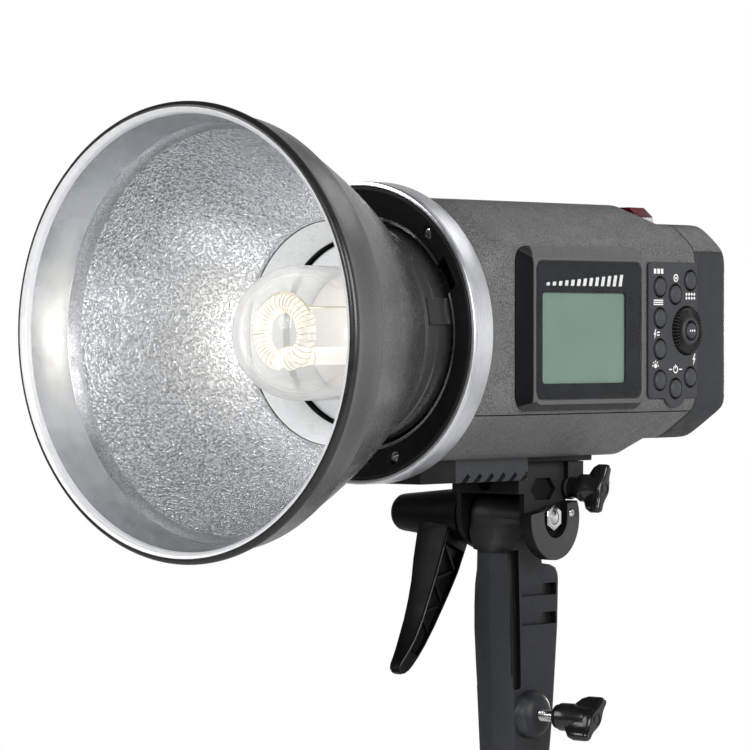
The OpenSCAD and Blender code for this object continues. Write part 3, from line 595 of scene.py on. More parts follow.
def glass_dome():
    """Protecting glass: a tube with a round end, and a rolled foot."""
    outer = DOME_HI.x
    inner = outer - 1.5
    front = DOME_LO.y + outer
    back = DOME_HI.y
    steps = 20

    def cap(r):
        """Quarter circle from the side to the tip, as (y, radius)."""
        turns = [pi / 2 * i / steps for i in range(steps + 1)]
        return [(front - r * sin(t), max(0.02, r * cos(t))) for t in turns]

    profile = cap(outer)[::-1] + [(back - 0.4, outer), (back, outer - 0.4), (back, inner + 0.4),
                                  (back - 0.4, inner)] + cap(inner)
    dome = mesh_object("dome_glass", [turn(profile, 1, 0, AXIS_Z, 96)])
    fit(dome, "lamp", "lamp_glass", "glass_dome", "dome_glass")


TUBE_Y = RIM_Y + 62
TUBE_RING_R = 12.2
TUBE_R = 3.6
LEAD_RING_R = 16.3


def tube_path():
    """Centre line of the flash tube: an open ring, then two legs towards the base."""
    gap, steps = 17, 56
    points = [Vector(on_axis(TUBE_RING_R, radians(-90 + gap + (360 - 2 * gap) * i / steps),
                             TUBE_Y)) for i in range(steps + 1)]

    def leg(sign):
        bend = [Vector((sign * (3.6 + 0.4 * k), TUBE_Y + 1.2 * k ** 1.3,
                        AXIS_Z - 11.6 + 0.5 * k)) for k in range(1, 5)]
        return bend + [Vector((sign * 5.4, TUBE_Y + 10 + 4 * k, AXIS_Z - 9.4))
                       for k in range(9)]

    return leg(-1)[::-1] + points[::-1] + leg(1)


def sweep(points, radius, n=20):
    """Tube of one radius along points."""
    rows = []
    side = Vector((0, 1, 0))
    for i, p in enumerate(points):
        ahead = points[min(i + 1, len(points) - 1)] - points[max(i - 1, 0)]
        ahead.normalize()
        side = side - ahead * side.dot(ahead)
        if side.length < 1e-6:
            side = ahead.orthogonal()
        side.normalize()
        up = ahead.cross(side)
        rows.append([p + radius * (side * cos(2 * pi * j / n) + up * sin(2 * pi * j / n))
                     for j in range(n)])
    return loft(rows)


def flash_tube():
    tube = mesh_object("flash_tube_ring", [sweep(tube_path(), TUBE_R)])
    fit(tube, "lamp", "tube_glass", "flash_tube", "tube_glass")


def trigger_wire():
    """Gold wire wound round the tube's ring, and its two straight leads."""
    path = [p for p in tube_path() if p.y < RIM_Y + 96]
    turns = 47
    wound = []
    steps = turns * 12
    for i in range(steps + 1):
        t = i / steps * (len(path) - 1)
        k = min(int(t), len(path) - 2)
        p = path[k].lerp(path[k + 1], t - k)
        ahead = (path[k + 1] - path[k]).normalized()
        side = Vector((0, 1, 0))
        side = (side - ahead * side.dot(ahead)).normalized()
        up = ahead.cross(side)
        a = 2 * pi * turns * i / steps + 1.5 * sin(0.037 * i) + 0.9 * sin(0.101 * i + 1)
        r = 3.95 + 0.3 * sin(0.063 * i) * sin(0.027 * i)
        wound.append(p + r * (side * cos(a) + up * sin(a)))
    leads = [sweep([Vector(on_axis(LEAD_RING_R, radians(a), TUBE_Y + 2 * k))
                    for k in range(22)], 0.4, 8) for a in (40, 140)]
    band = sweep([Vector(on_axis(LEAD_RING_R, radians(a), TUBE_Y))
                  for a in range(30, 152, 4)], 0.45, 8)
    wire = mesh_object("trigger_wire_winding", [sweep(wound, 0.2, 8), *leads, band])
    fit(wire, "lamp", "trigger_gold", "trigger_wire", "trigger_gold")


def lamp_pan():
    """White pan round the dome."""
    y = RIM_Y + 107.5
    profile = [(28.2, y + 1.6), (28.6, y + 1.3), (35.2, y + 0.1), (37.6, y + 0.1),
               (38.3, y + 0.7), (38.4, y + 1.4), (38.4, y + 3), (37.1, y + 3.4),
               (37.1, y + 15), (45.9, y + 15), (45.9, y + 16.9), (35.5, y + 16.9),
               (35.5, y + 2.1), (28.2, y + 3.1)]
    pan = mesh_object("lamp_pan_white", [turn_y(profile, 160)])

    # The pan's outer wall and flange are painted black as shade in the gap to the collar
    def pick(centre, normal):
        return 1 if round_axis(centre, normal)[0] > 36.9 and centre.y > y + 2 else 0

    fit(pan, "head", "white_pan", "lamp_pan", "white_enamel_and_painted_reflection", "black_plastic",
        pick=pick)


# ---- front of the head ------------------------------------------------------

# Circle of the three mount screws, and the first one's angle from +X
SCREW_CIRCLE_R = 53.8
SCREW_ANGLE = 49

def ring_band():
    """Silver ring with fine turned grooves at both edges."""
    y0, y1 = RING_LO.y, RING_HI.y
    r = RING_R
    profile = [(r - 1.9, y0 + 0.4), (r - 1.5, y0), (r - 0.7, y0), (r - 0.2, y0 + 0.15),
               (r, y0 + 0.6), (r, y0 + 1.5), (r - 0.18, y0 + 1.65), (r - 0.18, y0 + 1.8),
               (r, y0 + 1.95), (r, y1 - 0.6), (r - 0.2, y1 - 0.15), (r - 0.7, y1),
               (r - 1.9, y1)]
    ring = mesh_object("ring_band", [turn_y(profile, 256)])
    fit(ring, "head", "ring_metal", "silver_ring", "turned_aluminium")


def bell():
    """Dark front cone inside the silver ring, notched for the reflector's lugs."""
    y0 = corners("front_bell")[0].y
    profile = [(60.4, y0 + 0.5), (60.0, y0), (59.2, y0), (58.8, y0 + 0.5), (48.9, y0 + 4.4),
               (48.5, y0 + 4.7), (48.5, y0 + 5.3), (56.6, y0 + 5.3), (56.6, y0 + 12.3),
               (60.4, y0 + 12.3)]
    cone = mesh_object("bell_cone", [turn_y(profile, 256)])
    notch = soft_rect(40, 54, AXIS_Z - 6.8, AXIS_Z + 6.8, 1.6)
    tools = [turned(prism(notch, 1, y0 - 1, y0 + 7), 28 + 120 * k) for k in range(3)]
    hole = turn([(y0 - 1, 3.1), (y0 + 7, 3.1)], 1, SCREW_CIRCLE_R, AXIS_Z, 24)
    cut(cone, *tools, *[turned(hole, SCREW_ANGLE + 120 * k) for k in range(3)])
    fit(cone, "head", "bell_plastic", "front_bell", "bell_plastic")


def mount_screws():
    """Three plated pan-head screws with cross recesses."""
    lo, hi = corners("mount_screws")
    profile = [(lo.y, 0.6), (lo.y + 0.1, 1.6), (lo.y + 0.5, 2.5), (lo.y + 1.1, 2.9),
               (lo.y + 1.9, 2.9), (lo.y + 2.0, 1.5), (hi.y, 1.5)]
    screw = turn(profile, 1, SCREW_CIRCLE_R, AXIS_Z, 32)
    angles = [SCREW_ANGLE + 120 * k for k in range(3)]
    screws = mesh_object("mount_screw_set", [turned(screw, a) for a in angles])
    bars = [block(SCREW_CIRCLE_R - w, SCREW_CIRCLE_R + w, lo.y - 1, lo.y + 0.9,
                  AXIS_Z - h, AXIS_Z + h) for w, h in ((0.42, 1.9), (1.9, 0.42))]
    cut(screws, *[turned(bar, a) for a in angles for bar in bars])
    fit(screws, "head", "plated_steel", "mount_screws", "bright_steel")


# ---- housing ----------------------------------------------------------------

EDGE_POWER = 46
# Corners of the housing's section: half width, and height above the optical axis
CHAMFERS = [((BODY_W, 36.0), (46.0, CAP_TOP)), ((46.0, CAP_TOP), (34.0, BODY_TOP)),
            ((28.0, -BODY_BOTTOM), (BODY_W, -32.0))]


def flank(p, q):
    """Outward direction and distance of the plane through two corners."""
    dx, dz = q[0] - p[0], q[1] - p[1]
    nx, nz = dz, -dx
    size = sqrt(nx * nx + nz * nz)
    nx, nz = nx / size, nz / size
    d = nx * p[0] + nz * p[1]
    return (nx, nz, d) if d > 0 else (-nx, -nz, -d)


def section_r(a, top, bottom, inset=0.0, power=EDGE_POWER):
    """Radius of the housing's section at angle a: planes blended into round edges."""
    planes = [(1, 0, BODY_W), (-1, 0, BODY_W), (0, 1, top), (0, -1, bottom)]
    for p, q in CHAMFERS:
        nx, nz, d = flank(p, q)
        planes += [(nx, nz, d), (-nx, nz, d)]
    total = sum(max(0.0, (nx * cos(a) + nz * sin(a)) / (d - inset)) ** power
                for nx, nz, d in planes)
    return total ** (-1 / power)


def blend_low(p, q, power=60):
    return (p ** -power + q ** -power) ** (-1 / power)


def blend_high(p, q, power=60):
    return (p ** power + q ** power) ** (1 / power)


def ramp(y, y0, y1, v0, v1):
    t = min(1.0, max(0.0, (y - y0) / (y1 - y0)))
    return v0 + (v1 - v0) * t


STEP_Y0, STEP_Y1 = 31.0, 47.0
FLOOR_Y0, FLOOR_Y1 = 39.0, 45.0
WALL = 2.5
HOUSING_ANGLES = [2 * pi * (j + 0.5) / 288 for j in range(288)]


def housing_ring(y, inset=0.0):
    """One ring of the housing at y, drawn inwards by inset."""
    top = ramp(y, STEP_Y0, STEP_Y1, BODY_TOP, CAP_TOP)
    bottom = ramp(y, FLOOR_Y0, FLOOR_Y1, BODY_BOTTOM, CAP_BOTTOM)
    cone = RING_R - 1.6 + 0.62 * (y - SHOULDER_Y)
    collar = ramp(y, SHOULDER_Y, SHOULDER_Y + 15, RING_R - 1.6, BODY_TOP - 1.5)
    ring = []
    for a in HOUSING_ANGLES:
        r = blend_low(section_r(a, top, bottom), cone)
        if y < SHOULDER_Y + 18:
            r = blend_high(r, collar)
        ring.append(on_axis(r - inset, a, y))
    return ring


def housing_shell():
    """Closed shell of the housing, with a small groove at each end."""
    f, s = SHOULDER_Y, SEAM_Y
    stations = [(f, 0.9), (f + 0.25, 0.35), (f + 0.7, 0)]
    stations += [(f + 1.4 + 1.1 * i, 0) for i in range(18)]
    y = stations[-1][0] + 5
    while y < STEP_Y0 - 2:
        stations.append((y, 0))
        y += 6
    stations += [(STEP_Y0 - 1.0 + i, 0) for i in range(int(s - STEP_Y0))]
    stations += [(s - 0.6, 0), (s - 0.2, 0.3), (s, 0.8)]
    rows = [housing_ring(y, inset) for y, inset in stations]
    rows += [housing_ring(y, WALL) for y in (s, STEP_Y1, STEP_Y0, f + 40, f + 18, f + 9, f)]
    return loft(rows, closed=True)


def half(piece, low):
    """Keeps the part of the shell above or below the covers' seam, and closes it."""
    gap = 0.22
    z = (AXIS_Z + SPLIT_Z + (-gap if low else gap)) * MM
    bm = bmesh.new()
    bm.from_mesh(piece.data)
    done = bmesh.ops.bisect_plane(
        bm, geom=bm.verts[:] + bm.edges[:] + bm.faces[:], plane_co=(0, 0, z),
        plane_no=(0, 0, 1), clear_outer=low, clear_inner=not low)
    edges = [e for e in done["geom_cut"] if isinstance(e, bmesh.types.BMEdge)]
    bmesh.ops.triangle_fill(bm, use_beauty=True, use_dissolve=True, edges=edges,
                            normal=(0, 0, 1))
    bmesh.ops.recalc_face_normals(bm, faces=bm.faces)
    bm.to_mesh(piece.data)
    bm.free()
    return piece


def upper_shell():
    shell = half(mesh_object("upper_shell", [housing_shell()]), low=False)
    w = BODY_W

    def opening(outline, x0, x1):
        return prism(panel_rect(*outline), 0, x0, x1)

    # Screen, keypad, round jack, square jack, catch's recess, catch's slot, battery's roof
    tools = [
        opening((-57, 9, -25, 27, 2), w - 6, w + 4),
        opening((22, 54, -28.2, 27.2, 1), w - 6, w + 4),
        rod(-w - 4, -w + 6, 4.2, 28, AXIS_Z - 6),
        opening((36, 46, -11, -1, 1), -w - 4, -w + 6),
        opening((-88.6, -70, -7, 7, 1), -w - 6, -w + 0.02),
        opening((-84, -75, -2.4, 2.4, 1), -w - 5, -w + 6),
        prism(soft_rect(-36.2, 36.2, STEP_Y0 + 5.2, SEAM_Y + 2, 0.8), 2,
              AXIS_Z + CAP_TOP - 0.5, AXIS_Z + BODY_TOP + 4),
    ]
    vents = [(-50 + i * 8, -47 + i * 8, -16, 16, 1.4) for i in range(7)]
    tools += [opening(vent, -w - 4, -w + 4) for vent in vents]
    cut(shell, *tools)
    fit(shell, "head", "housing_plastic", "upper_cover", "housing_plastic")


KEEL_NOSE_Y = -67.0
# Lower and upper side of the plate behind the keel, over the bracket
KEEL_PLATE_Z = (132, 136)


def keel_slot(i):
    """Slanted vent slot through the keel's lower edge."""
    base = AXIS_Z - RING_R
    y = -62 + i * 7.9
    bar = block(-30, 30, y - 1.1, y + 1.1, base - 3, base + 5)
    return moved(bar, tilt_about_x(-50, y, base))


def lower_shell():
    shell = half(mesh_object("lower_shell", [housing_shell()]), low=True)
    base = AXIS_Z - RING_R
    fit(shell, "head", "housing_plastic", "lower_cover", "housing_plastic")
    keel = mesh_object("keel", [block(-24, 24, KEEL_NOSE_Y, -18.3, base, base + 11.5)], bevel=0.7)
    cut(keel, *[keel_slot(i) for i in range(6)])
    # The keel's darker battery plastic is painted shade, as if under the housing's overhang
    fit(keel, "head", "housing_plastic", None, "battery_plastic")
    # Black nose in front of the keel: painted shade under the bell
    nose = mesh_object("keel_nose_painted_shade", [block(-23.8, 23.8, SHOULDER_Y, KEEL_NOSE_Y + 1, base + 0.1,
                                           base + 11.5)], 0.5)
    plate = mesh_object("keel_plate", [block(-24, 24, -19.5, 26, *KEEL_PLATE_Z)], 0.5)
    for piece in (nose, plate):
        fit(piece, "head", "housing_plastic", None, "bracket_paint")


def battery_block():
    """Rear block: the battery's cap with a chamfered back and a finger recess."""
    y0, y1 = CAP_LO.y, CAP_HI.y
    stations = [(y0, 0.8), (y0 + 0.25, 0.3), (y0 + 0.7, 0), (y0 + 6, 0), (y0 + 12, 0),
                (y1 - 5, 0), (y1 - 3.4, 0.1), (y1 - 1.6, 0.8), (y1 - 0.4, 2.2),
                (y1, 3.4)]
    rows = []
    for y, inset in stations:
        taper = ramp(y, y1 - 8, y1, 90, 64)
        rows.append([on_axis(blend_low(section_r(a, CAP_TOP, CAP_BOTTOM), taper) - inset, a, y)
                     for a in HOUSING_ANGLES])
    cap = mesh_object("battery_block", [loft(rows)])
    cut(cap,
        prism(soft_rect(-30, 30, AXIS_Z - 14, AXIS_Z + 8, 3), 1, y1 - 4, y1 + 2),
        block(-BODY_W - 2, -BODY_W + 8, SEAM_Y + 6, SEAM_Y + 20, AXIS_Z - 9, AXIS_Z + 9))

    # Upward side chamfers get the lighter housing plastic: painted light from above
    def pick(centre, normal):
        return 1 if normal.z > 0.4 and normal.y < 0.3 and abs(centre.x) > 33 else 0

    fit(cap, "battery", "battery_plastic", "battery_cap", "battery_plastic",
        "housing_plastic", pick=pick)


def sensor():
    """Red window over its milky diffuser, in the step of the roof."""
    red_lo, red_hi = corners("sensor_window")
    x = red_hi.x
    z0, z1 = red_lo.z, red_hi.z
    y0, y1 = red_lo.y, red_hi.y
    red = mesh_object("sensor_red", [prism(
        [(y0 + 3, z1 - 0.4), (y0 + 14, z1 - 0.4), (y1, z0), (y0 + 8.6, z0)], 0, -x, x)], 0.35)
    fit(red, "head", "red_window", "sensor_window", "red_window")
    low, high = corners("sensor_diffuser")
    milk = mesh_object("sensor_milk", [prism(
        [(low.y, high.z), (high.y, high.z), (high.y, low.z), (low.y + 4.7, low.z)], 0,
        -x, x)], 0.3)
    fit(milk, "head", "diffuser", "sensor_diffuser", "milky_diffuser")


# ---- control panel ----------------------------------------------------------

def panel_rect(u0, u1, v0, v1, r):
    """Round-cornered outline on the panel: distance from the stand axis, height."""
    return soft_rect(u0, u1, AXIS_Z + v0, AXIS_Z + v1, r)


# Where the bezel's front slope is wholly black with painted shade, and where that painted shade
# starts
SLOPE_Y0, SLOPE_Y1 = -62.0, -61.2


def screen_bezel():
    """Raised frame with sloping sides round the sunk glass."""
    x = PANEL_X
    window = panel_rect(-56, 8, -22.5, 18.5, 1.2)
    levels = [
        (x, panel_rect(-70.5, 16.4, -32.2, 35.9, 7)),
        (x + 0.5, panel_rect(-70.5, 16.4, -32.2, 35.9, 7)),
        (x + 0.9, panel_rect(-69.9, 16.2, -31.9, 35.5, 6.8)),
        (x + 2.7, panel_rect(SLOPE_Y0, 15.0, -30.0, 31.9, 5.4)),
        (x + 3.0, panel_rect(-61.3, 14.6, -29.5, 31.3, 5.0)),
        (x + 3.0, panel_rect(-60.3, 13.2, -28.0, 30.3, 4.2)),
        (x + 2.8, panel_rect(-59.9, 12.8, -27.7, 30.0, 4.0)),
        (x + 1.6, panel_rect(-59.7, 12.6, -27.5, 29.9, 4.0)),
        (x + 1.6, window),
        (x, window),
    ]
    rows = [[(w, u, v) for u, v in outline] for w, outline in levels]
    bezel = mesh_object("bezel_frame", [loft(rows, closed=True)])

    def pick(centre, normal):
        # Front slope: painted shade, black and with little gloss
        if normal.y < -0.12 and -normal.y > 0.8 * abs(normal.z) and centre.y < -61:
            return 1
        # Downward bottom slope: darker plastic as painted shade
        return 2 if normal.z < -0.2 and centre.z < AXIS_Z - 28 else 0

    fit(bezel, "head", "black_plastic", "screen_bezel", "bezel_painted_shade", "bezel_slope_painted_shade",
        "bezel_under_painted_shade", pick=pick, sharp=24)


def screen_glass():
    """Black printed mask with the display's window, under a clear sheet."""
    x = PANEL_X + 1.7
    outline = panel_rect(-59.4, 12.3, -27.2, 29.6, 3.8)
    mask = mesh_object("screen_mask", [prism(outline, 0, x, x + 0.55)])
    cut(mask, prism(panel_rect(-54.9, 1.8, -20.9, 16.7, 1.6), 0, x - 1, x + 2))
    fit(mask, "head", "screen_clear", "screen_glass", "screen_black")
    sheet = mesh_object("screen_sheet", [prism(outline, 0, x + 0.62, x + 1.15)], 0.1)
    fit(sheet, "head", "screen_clear", None, "screen_sheet")
    scale = []
    foot, width, slant = AXIS_Z + 19.6, 2.1, 0.25
    for i in range(13):
        y, height = -52.4 + 4.1 * i, 1.3 + 0.3 * i
        scale.append(prism([(y, foot), (y + width, foot),
                            (y + width + height * slant, foot + height),
                            (y + height * slant, foot + height)], 0, x + 0.54, x + 0.6))
    marks = mesh_object("screen_scale", scale)
    fit(marks, "head", "keypad", None, "printed_white")


def keypad_plate():
    """Panel skin round the keys, with the round tab below the power key."""
    lo, hi = corners("keypad_plate")
    x0, x1 = lo.x, hi.x

    def holes(r, over, n):
        return [rod(x0 - 1, x1 + over, r, *side_centre(k), n) for k in KEYS]

    plate = mesh_object("keypad_skin", [prism(
        panel_rect(lo.y, hi.y, -28.0, hi.z - AXIS_Z, 2.2), 0, x0, x1)], 0.25)
    y, z = side_centre("key_power")
    add(plate, turn_x([(x0, 8.4), (x1 - 0.3, 8.4), (x1, 8.1)], y, z, 64))
    # Black ring under the key holes: painted shade in the gaps round the keys
    gap_shade = mesh_object("key_gap_painted_shade", [rod(x0, x0 + 0.1, 5.2, *side_centre(k), 32)
                                             for k in KEYS])
    cut(gap_shade, *holes(KEY_HOLE_R - 0.6, 0, 32))
    fit(gap_shade, "head", "black_plastic", None, "black_plastic")
    cut(plate, *holes(KEY_HOLE_R, 1, 48),
        rod(x0 - 1, x1 + 1, DIAL_HOLE_R, *side_centre("dial_ring"), 96))
    fit(plate, "head", "keypad", "keypad_plate", "keypad_skin")


KEY_HOLE_R, DIAL_HOLE_R = 4.75, 10.7
# Share of the CAD key's radius that the visible cap fills
KEY_FILL, DIAL_KEY_FILL = 0.92, 0.86
KEYS = ("key_mode", "key_menu", "key_sync_speed", "key_lamp", "key_slave", "key_group",
        "key_power", "key_test")


def key_cap(node):
    """One key with a gently domed top."""
    lo, hi = corners(node)
    r, top = KEY_FILL * (hi.y - lo.y) / 2, hi.x
    profile = [(lo.x, r), (top - 0.75, r), (top - 0.45, r - 0.15), (top - 0.2, r - 0.5),
               (top - 0.08, r - 1.2), (top, r - 2.6), (top, 0.4)]
    cap = mesh_object(f"{node}_cap", [turn_x(profile, *side_centre(node), 48)])
    fit(cap, node, "key_plastic", node, "key_plastic")


# Printed signs stand this far off the panel, and are this thick
SIGN_X = PANEL_X + 1.18
SIGN_T = 0.1
BOLT_SIGN = ((0.15, 1.0), (-0.42, -0.08), (-0.05, -0.08), (-0.2, -1.0), (0.42, 0.22),
             (0.06, 0.22), (0.4, 1.0))


def mark_bar(y, z, w, h):
    return block(SIGN_X, SIGN_X + SIGN_T, y - w / 2, y + w / 2, z - h / 2, z + h / 2)


def mark_dot(y, z, r):
    return rod(SIGN_X, SIGN_X + SIGN_T, r, y, z, 20)


def mark_bolt(y, z, size):
    """Zigzag flash sign."""
    return prism([(y + size * u, z + size * v) for u, v in BOLT_SIGN], 0, SIGN_X,
                 SIGN_X + SIGN_T)


def mark_ring(y, z, r, width):
    return turn_x([(SIGN_X, r), (SIGN_X + SIGN_T, r), (SIGN_X + SIGN_T, r - width),
                   (SIGN_X, r - width)], y, z, 28, True)


def panel_marks():
    """Plain signs beside the keys: bars, dots, a bolt, a lamp and a power ring."""
    marks = []
    y, z = side_centre("key_mode")
    marks += [mark_bar(y - 3.6 + 2.5 * i, z + 6.7, 1.7, 2.1) for i in range(3)]
    y, z = side_centre("key_menu")
    marks += [mark_bar(y - 1.2, z + 5.8 + 0.9 * i, 6.8, 0.5) for i in range(3)]
    y, z = side_centre("key_sync_speed")
    marks += [mark_bolt(y - 3.6, z + 6.4, 2.2), mark_bar(y - 1.3, z + 6.0, 1.9, 0.55),
              mark_bar(y - 1.3, z + 7.2, 1.9, 0.55)]
    y, z = side_centre("key_lamp")
    marks.append(mark_dot(y - 3.2, z + 6.2, 1.0))
    for i in range(5):
        a = radians(45 * i)
        marks.append(mark_dot(y - 3.2 + 1.9 * cos(a), z + 6.2 + 1.9 * sin(a), 0.38))
    y, z = side_centre("key_slave")
    marks += [mark_ring(y + 0.4, z + 7.0, 1.7, 0.5), mark_dot(y + 0.4, z + 7.0, 0.6)]
    y, z = side_centre("key_group")
    marks += [mark_dot(y - 2.8 + 1.9 * i, z - 7.6 + 1.7 * j, 0.62)
              for i in range(4) for j in range(2)]
    y, z = side_centre("key_test")
    marks.append(mark_bolt(y + 2.6, z + 7.6, 2.5))
    y, z = side_centre("key_power")
    marks += [mark_ring(y, z + 8.2, 1.7, 0.5), mark_bar(y, z + 9.4, 0.5, 1.8),
              mark_bar(y - 3.6, z + 8.2, 2.2, 0.5), mark_bar(y + 3.6, z + 8.2, 2.2, 0.5)]
    signs = mesh_object("panel_signs", marks)
    fit(signs, "head", "keypad", None, "printed_white")


def dial():
    """Knurled wheel with a smooth raised middle."""
    y, z = side_centre("dial_ring")
    ribs, per = 40, 6
    base, top = PANEL_X + 0.3, corners("dial_ring")[1].x
    # Each ring: height and radius on a rib, then in the groove between ribs
    rings = [
        (PANEL_X - 2, 4.45, PANEL_X - 2, 4.45), (top - 0.3, 4.45, top - 0.3, 4.45),
        (top, 4.75, top, 4.75), (top, 5.3, top, 5.3), (top - 0.25, 5.6, top - 0.25, 5.6),
        (top - 0.7, 5.8, top - 1.0, 5.8), (top - 0.6, 6.2, top - 1.7, 6.0),
        (top - 0.6, 9.3, top - 1.7, 9.1), (top - 0.9, 9.9, top - 2.0, 9.5),
        (top - 1.3, 10.08, top - 2.3, 9.6), (base, 10.08, base, 9.6),
        (base, 6.6, base, 6.6), (PANEL_X - 2, 6.6, PANEL_X - 2, 6.6),
    ]
    rows = []
    for x_rib, r_rib, x_gap, r_gap in rings:
        row = []
        for j in range(ribs * per):
            t = (1 + cos(2 * pi * j / per)) / 2
            x, r = x_gap + (x_rib - x_gap) * t, r_gap + (r_rib - r_gap) * t
            a = 2 * pi * j / (ribs * per)
            row.append((x, y + r * cos(a), z + r * sin(a)))
        rows.append(row)
    wheel = mesh_object("dial_wheel", [loft(rows, closed=True)])

    # The grooves between the ribs are painted black as shade
    def pick(centre, normal):
        r = sqrt((centre.y - y) ** 2 + (centre.z - z) ** 2)
        return 1 if 5.9 < r < 9.98 and centre.x < top - 1.05 else 0

    fit(wheel, "dial", "key_plastic", "dial_ring", "key_plastic", "black_plastic", pick=pick,
        sharp=50)


def dial_key():
    """Smooth key in the middle of the dial, with three dots."""
    lo, hi = corners("dial_key")
    y, z = side_centre("dial_ring")
    r, top = DIAL_KEY_FILL * (hi.y - lo.y) / 2, hi.x
    cap = mesh_object("dial_key_cap", [turn_x(
        [(lo.x, r), (top - 0.7, r), (top - 0.35, r - 0.2), (top - 0.12, r - 0.7),
         (top - 0.02, r - 1.6), (top - 0.02, 0.3)], y, z, 48)])
    fit(cap, "dial_key", "key_plastic", "dial_key", "key_plastic")
    dots = mesh_object("dial_key_mark", [rod(top - 0.05, top, 0.45, y - 1.4 + 1.4 * i, z, 16)
                                         for i in range(3)])
    fit(dots, "dial_key", "keypad", None, "printed_white")


# ---- bracket, lever and knobs -----------------------------------------------

TILT_Z = side_centre("tilt_bolt")[1]
EAR_X = 18.5
EAR_R = 17.0
FLANK_R = 14.4
BOLT_R = 3.0
PIVOT_BORE_R = 3.05
SCREW_BORE_R = 2.55
# Place of the small lock screw beside the nut: along Y, and above the tilt axis
LOCK_Y, LOCK_RISE = 10.6, 1.8
BRACKET_LO, BRACKET_HI = corners("tilt_bracket")
WEB_Z = 118.3
UMBRELLA_R, UMBRELLA_Z = 4.1, 123.6


def bracket():
    """Two ears on a web under the keel, with the umbrella screw's bushing."""
    web_z0, web_z1 = WEB_Z, BRACKET_HI.z
    y0, y1 = BRACKET_LO.y, BRACKET_HI.y
    frame_piece = mesh_object("bracket_frame", [block(-EAR_X, EAR_X, y0, y1, web_z0, web_z1)],
                              0.6)
    ear = arc(0, TILT_Z, FLANK_R, 180, 360, 32) + [(FLANK_R, web_z0 + 2),
                                                   (-FLANK_R, web_z0 + 2)]
    ears = [prism(ear, 0, x, x + 2.5) for x in (-EAR_X, EAR_X - 2.5)]
    knob_y, knob_z = side_centre("umbrella_screw")
    bushing = turn_x([(6, 5.1), (EAR_X + 1.9, 5.1), (EAR_X + 2.5, 4.6)], knob_y, knob_z)
    cheek = block(EAR_X - 1, EAR_X + 2.5, 13, y1 - 0.3, 116.6, web_z1 - 0.3)
    add(frame_piece, *ears, cheek, bushing)
    holes = [rod(-EAR_X - 1, EAR_X + 1, PIVOT_BORE_R, 0, TILT_Z),
             rod(3, EAR_X + 4, SCREW_BORE_R, knob_y, knob_z)]
    bore = turn([(y0 - 1, UMBRELLA_R), (y1 + 1, UMBRELLA_R)], 1, 0, UMBRELLA_Z)
    pocket = [(-1.5 + 8.8 * u, 120.2 + 4.7 * v) for u, v in
              ((-1, 0), (-0.55, 1), (0.55, 1), (1, 0), (0.55, -1), (-0.55, -1))]
    holes += [bore, prism(pocket, 0, EAR_X - 2.2, EAR_X + 3)]
    holes += [turn([(web_z0 - 1, 3.8), (web_z0 + 3.1, 3.8)], 2, x, y, 32)
              for x in (-11, 11) for y in (-12, 6)]
    cut(frame_piece, *holes)

    # Near ear's outer face, towards the key light, painted lighter: painted light
    def pick(centre, normal):
        return 1 if normal.x > 0.5 and centre.x > EAR_X - 0.7 else 0

    fit(frame_piece, "head", "bracket_metal", "tilt_bracket", "bracket_paint",
        "bracket_side_painted_light", pick=pick)


def boss():
    """Half-round boss on the near ear, with a recess for its nut."""
    lo, hi = corners("tilt_boss")
    r = EAR_R - 0.3
    top = TILT_Z + 5
    ends = [radians(25), radians(174.2)]
    turns = [ends[0] + (ends[1] - ends[0] - 2 * pi) * i / 48 for i in range(49)]
    outline = [(r * cos(a), TILT_Z + r * sin(a) * (1.09 if sin(a) < 0 else 1)) for a in turns]
    plate = mesh_object("boss_plate", [prism(outline, 0, lo.x, hi.x)], 0.45)
    recess = [(v, TILT_Z + 1.1 * (w - TILT_Z)) for v, w in arc(0, TILT_Z, 8, 180, 360, 24)]
    recess += [(8, top + 9), (-8, top + 9)]
    cut(plate, prism(recess, 0, lo.x + 2, hi.x + 1),
        rod(lo.x - 1, hi.x, PIVOT_BORE_R, 0, TILT_Z),
        rod(lo.x + 2, hi.x + 1, 1.9, LOCK_Y, TILT_Z + LOCK_RISE, 24))

    # Outer face lighter as painted light; recess and sides black as painted shade
    def pick(centre, normal):
        return 1 if centre.x < hi.x - 0.5 or normal.x < 0.3 else 0

    fit(plate, "head", "bracket_metal", "tilt_boss", "boss_face_painted_light", "bracket_paint", pick=pick)


def tilt_nut():
    """Hexagon nut in the boss's recess, and the small lock screw beside it."""
    nut_x = corners("tilt_boss")[0].x + 2.1
    hexagon = [(5.75 * cos(radians(60 * i + 30)), TILT_Z + 5.75 * sin(radians(60 * i + 30)))
               for i in range(6)]
    nut = mesh_object("boss_nut", [prism(hexagon, 0, nut_x, nut_x + 3.2)], 0.5, 3)
    cut(nut, rod(nut_x - 1, nut_x + 5, PIVOT_BORE_R, 0, TILT_Z))
    head_x = corners("tilt_nut")[1].x
    lock = [(nut_x, 1.7), (head_x - 0.4, 1.7), (head_x, 1.3), (head_x, 0.8), (head_x - 0.8, 0.7)]
    add(nut, turn_x(lock, LOCK_Y, TILT_Z + LOCK_RISE, 24))
    fit(nut, "head", "plated_steel", "tilt_nut", "bright_steel")


def tilt_bolt():
    """Bolt that the lever turns, with a rounded end."""
    end_lo, end_hi = corners("tilt_bolt")
    bolt = mesh_object("pivot_bolt", [turn_x(
        [(end_lo.x, 2.6), (end_lo.x + 0.5, BOLT_R), (end_hi.x - 1.0, BOLT_R),
         (end_hi.x - 0.3, 2.7), (end_hi.x, 2.0), (end_hi.x, 0.3)], 0, TILT_Z)])
    fit(bolt, "tilt_lever", "plated_steel", "tilt_bolt", "bright_steel")


LEVER_LEAN = 25.0
LEVER_X = -35.0
LEVER_WALL = 1.2
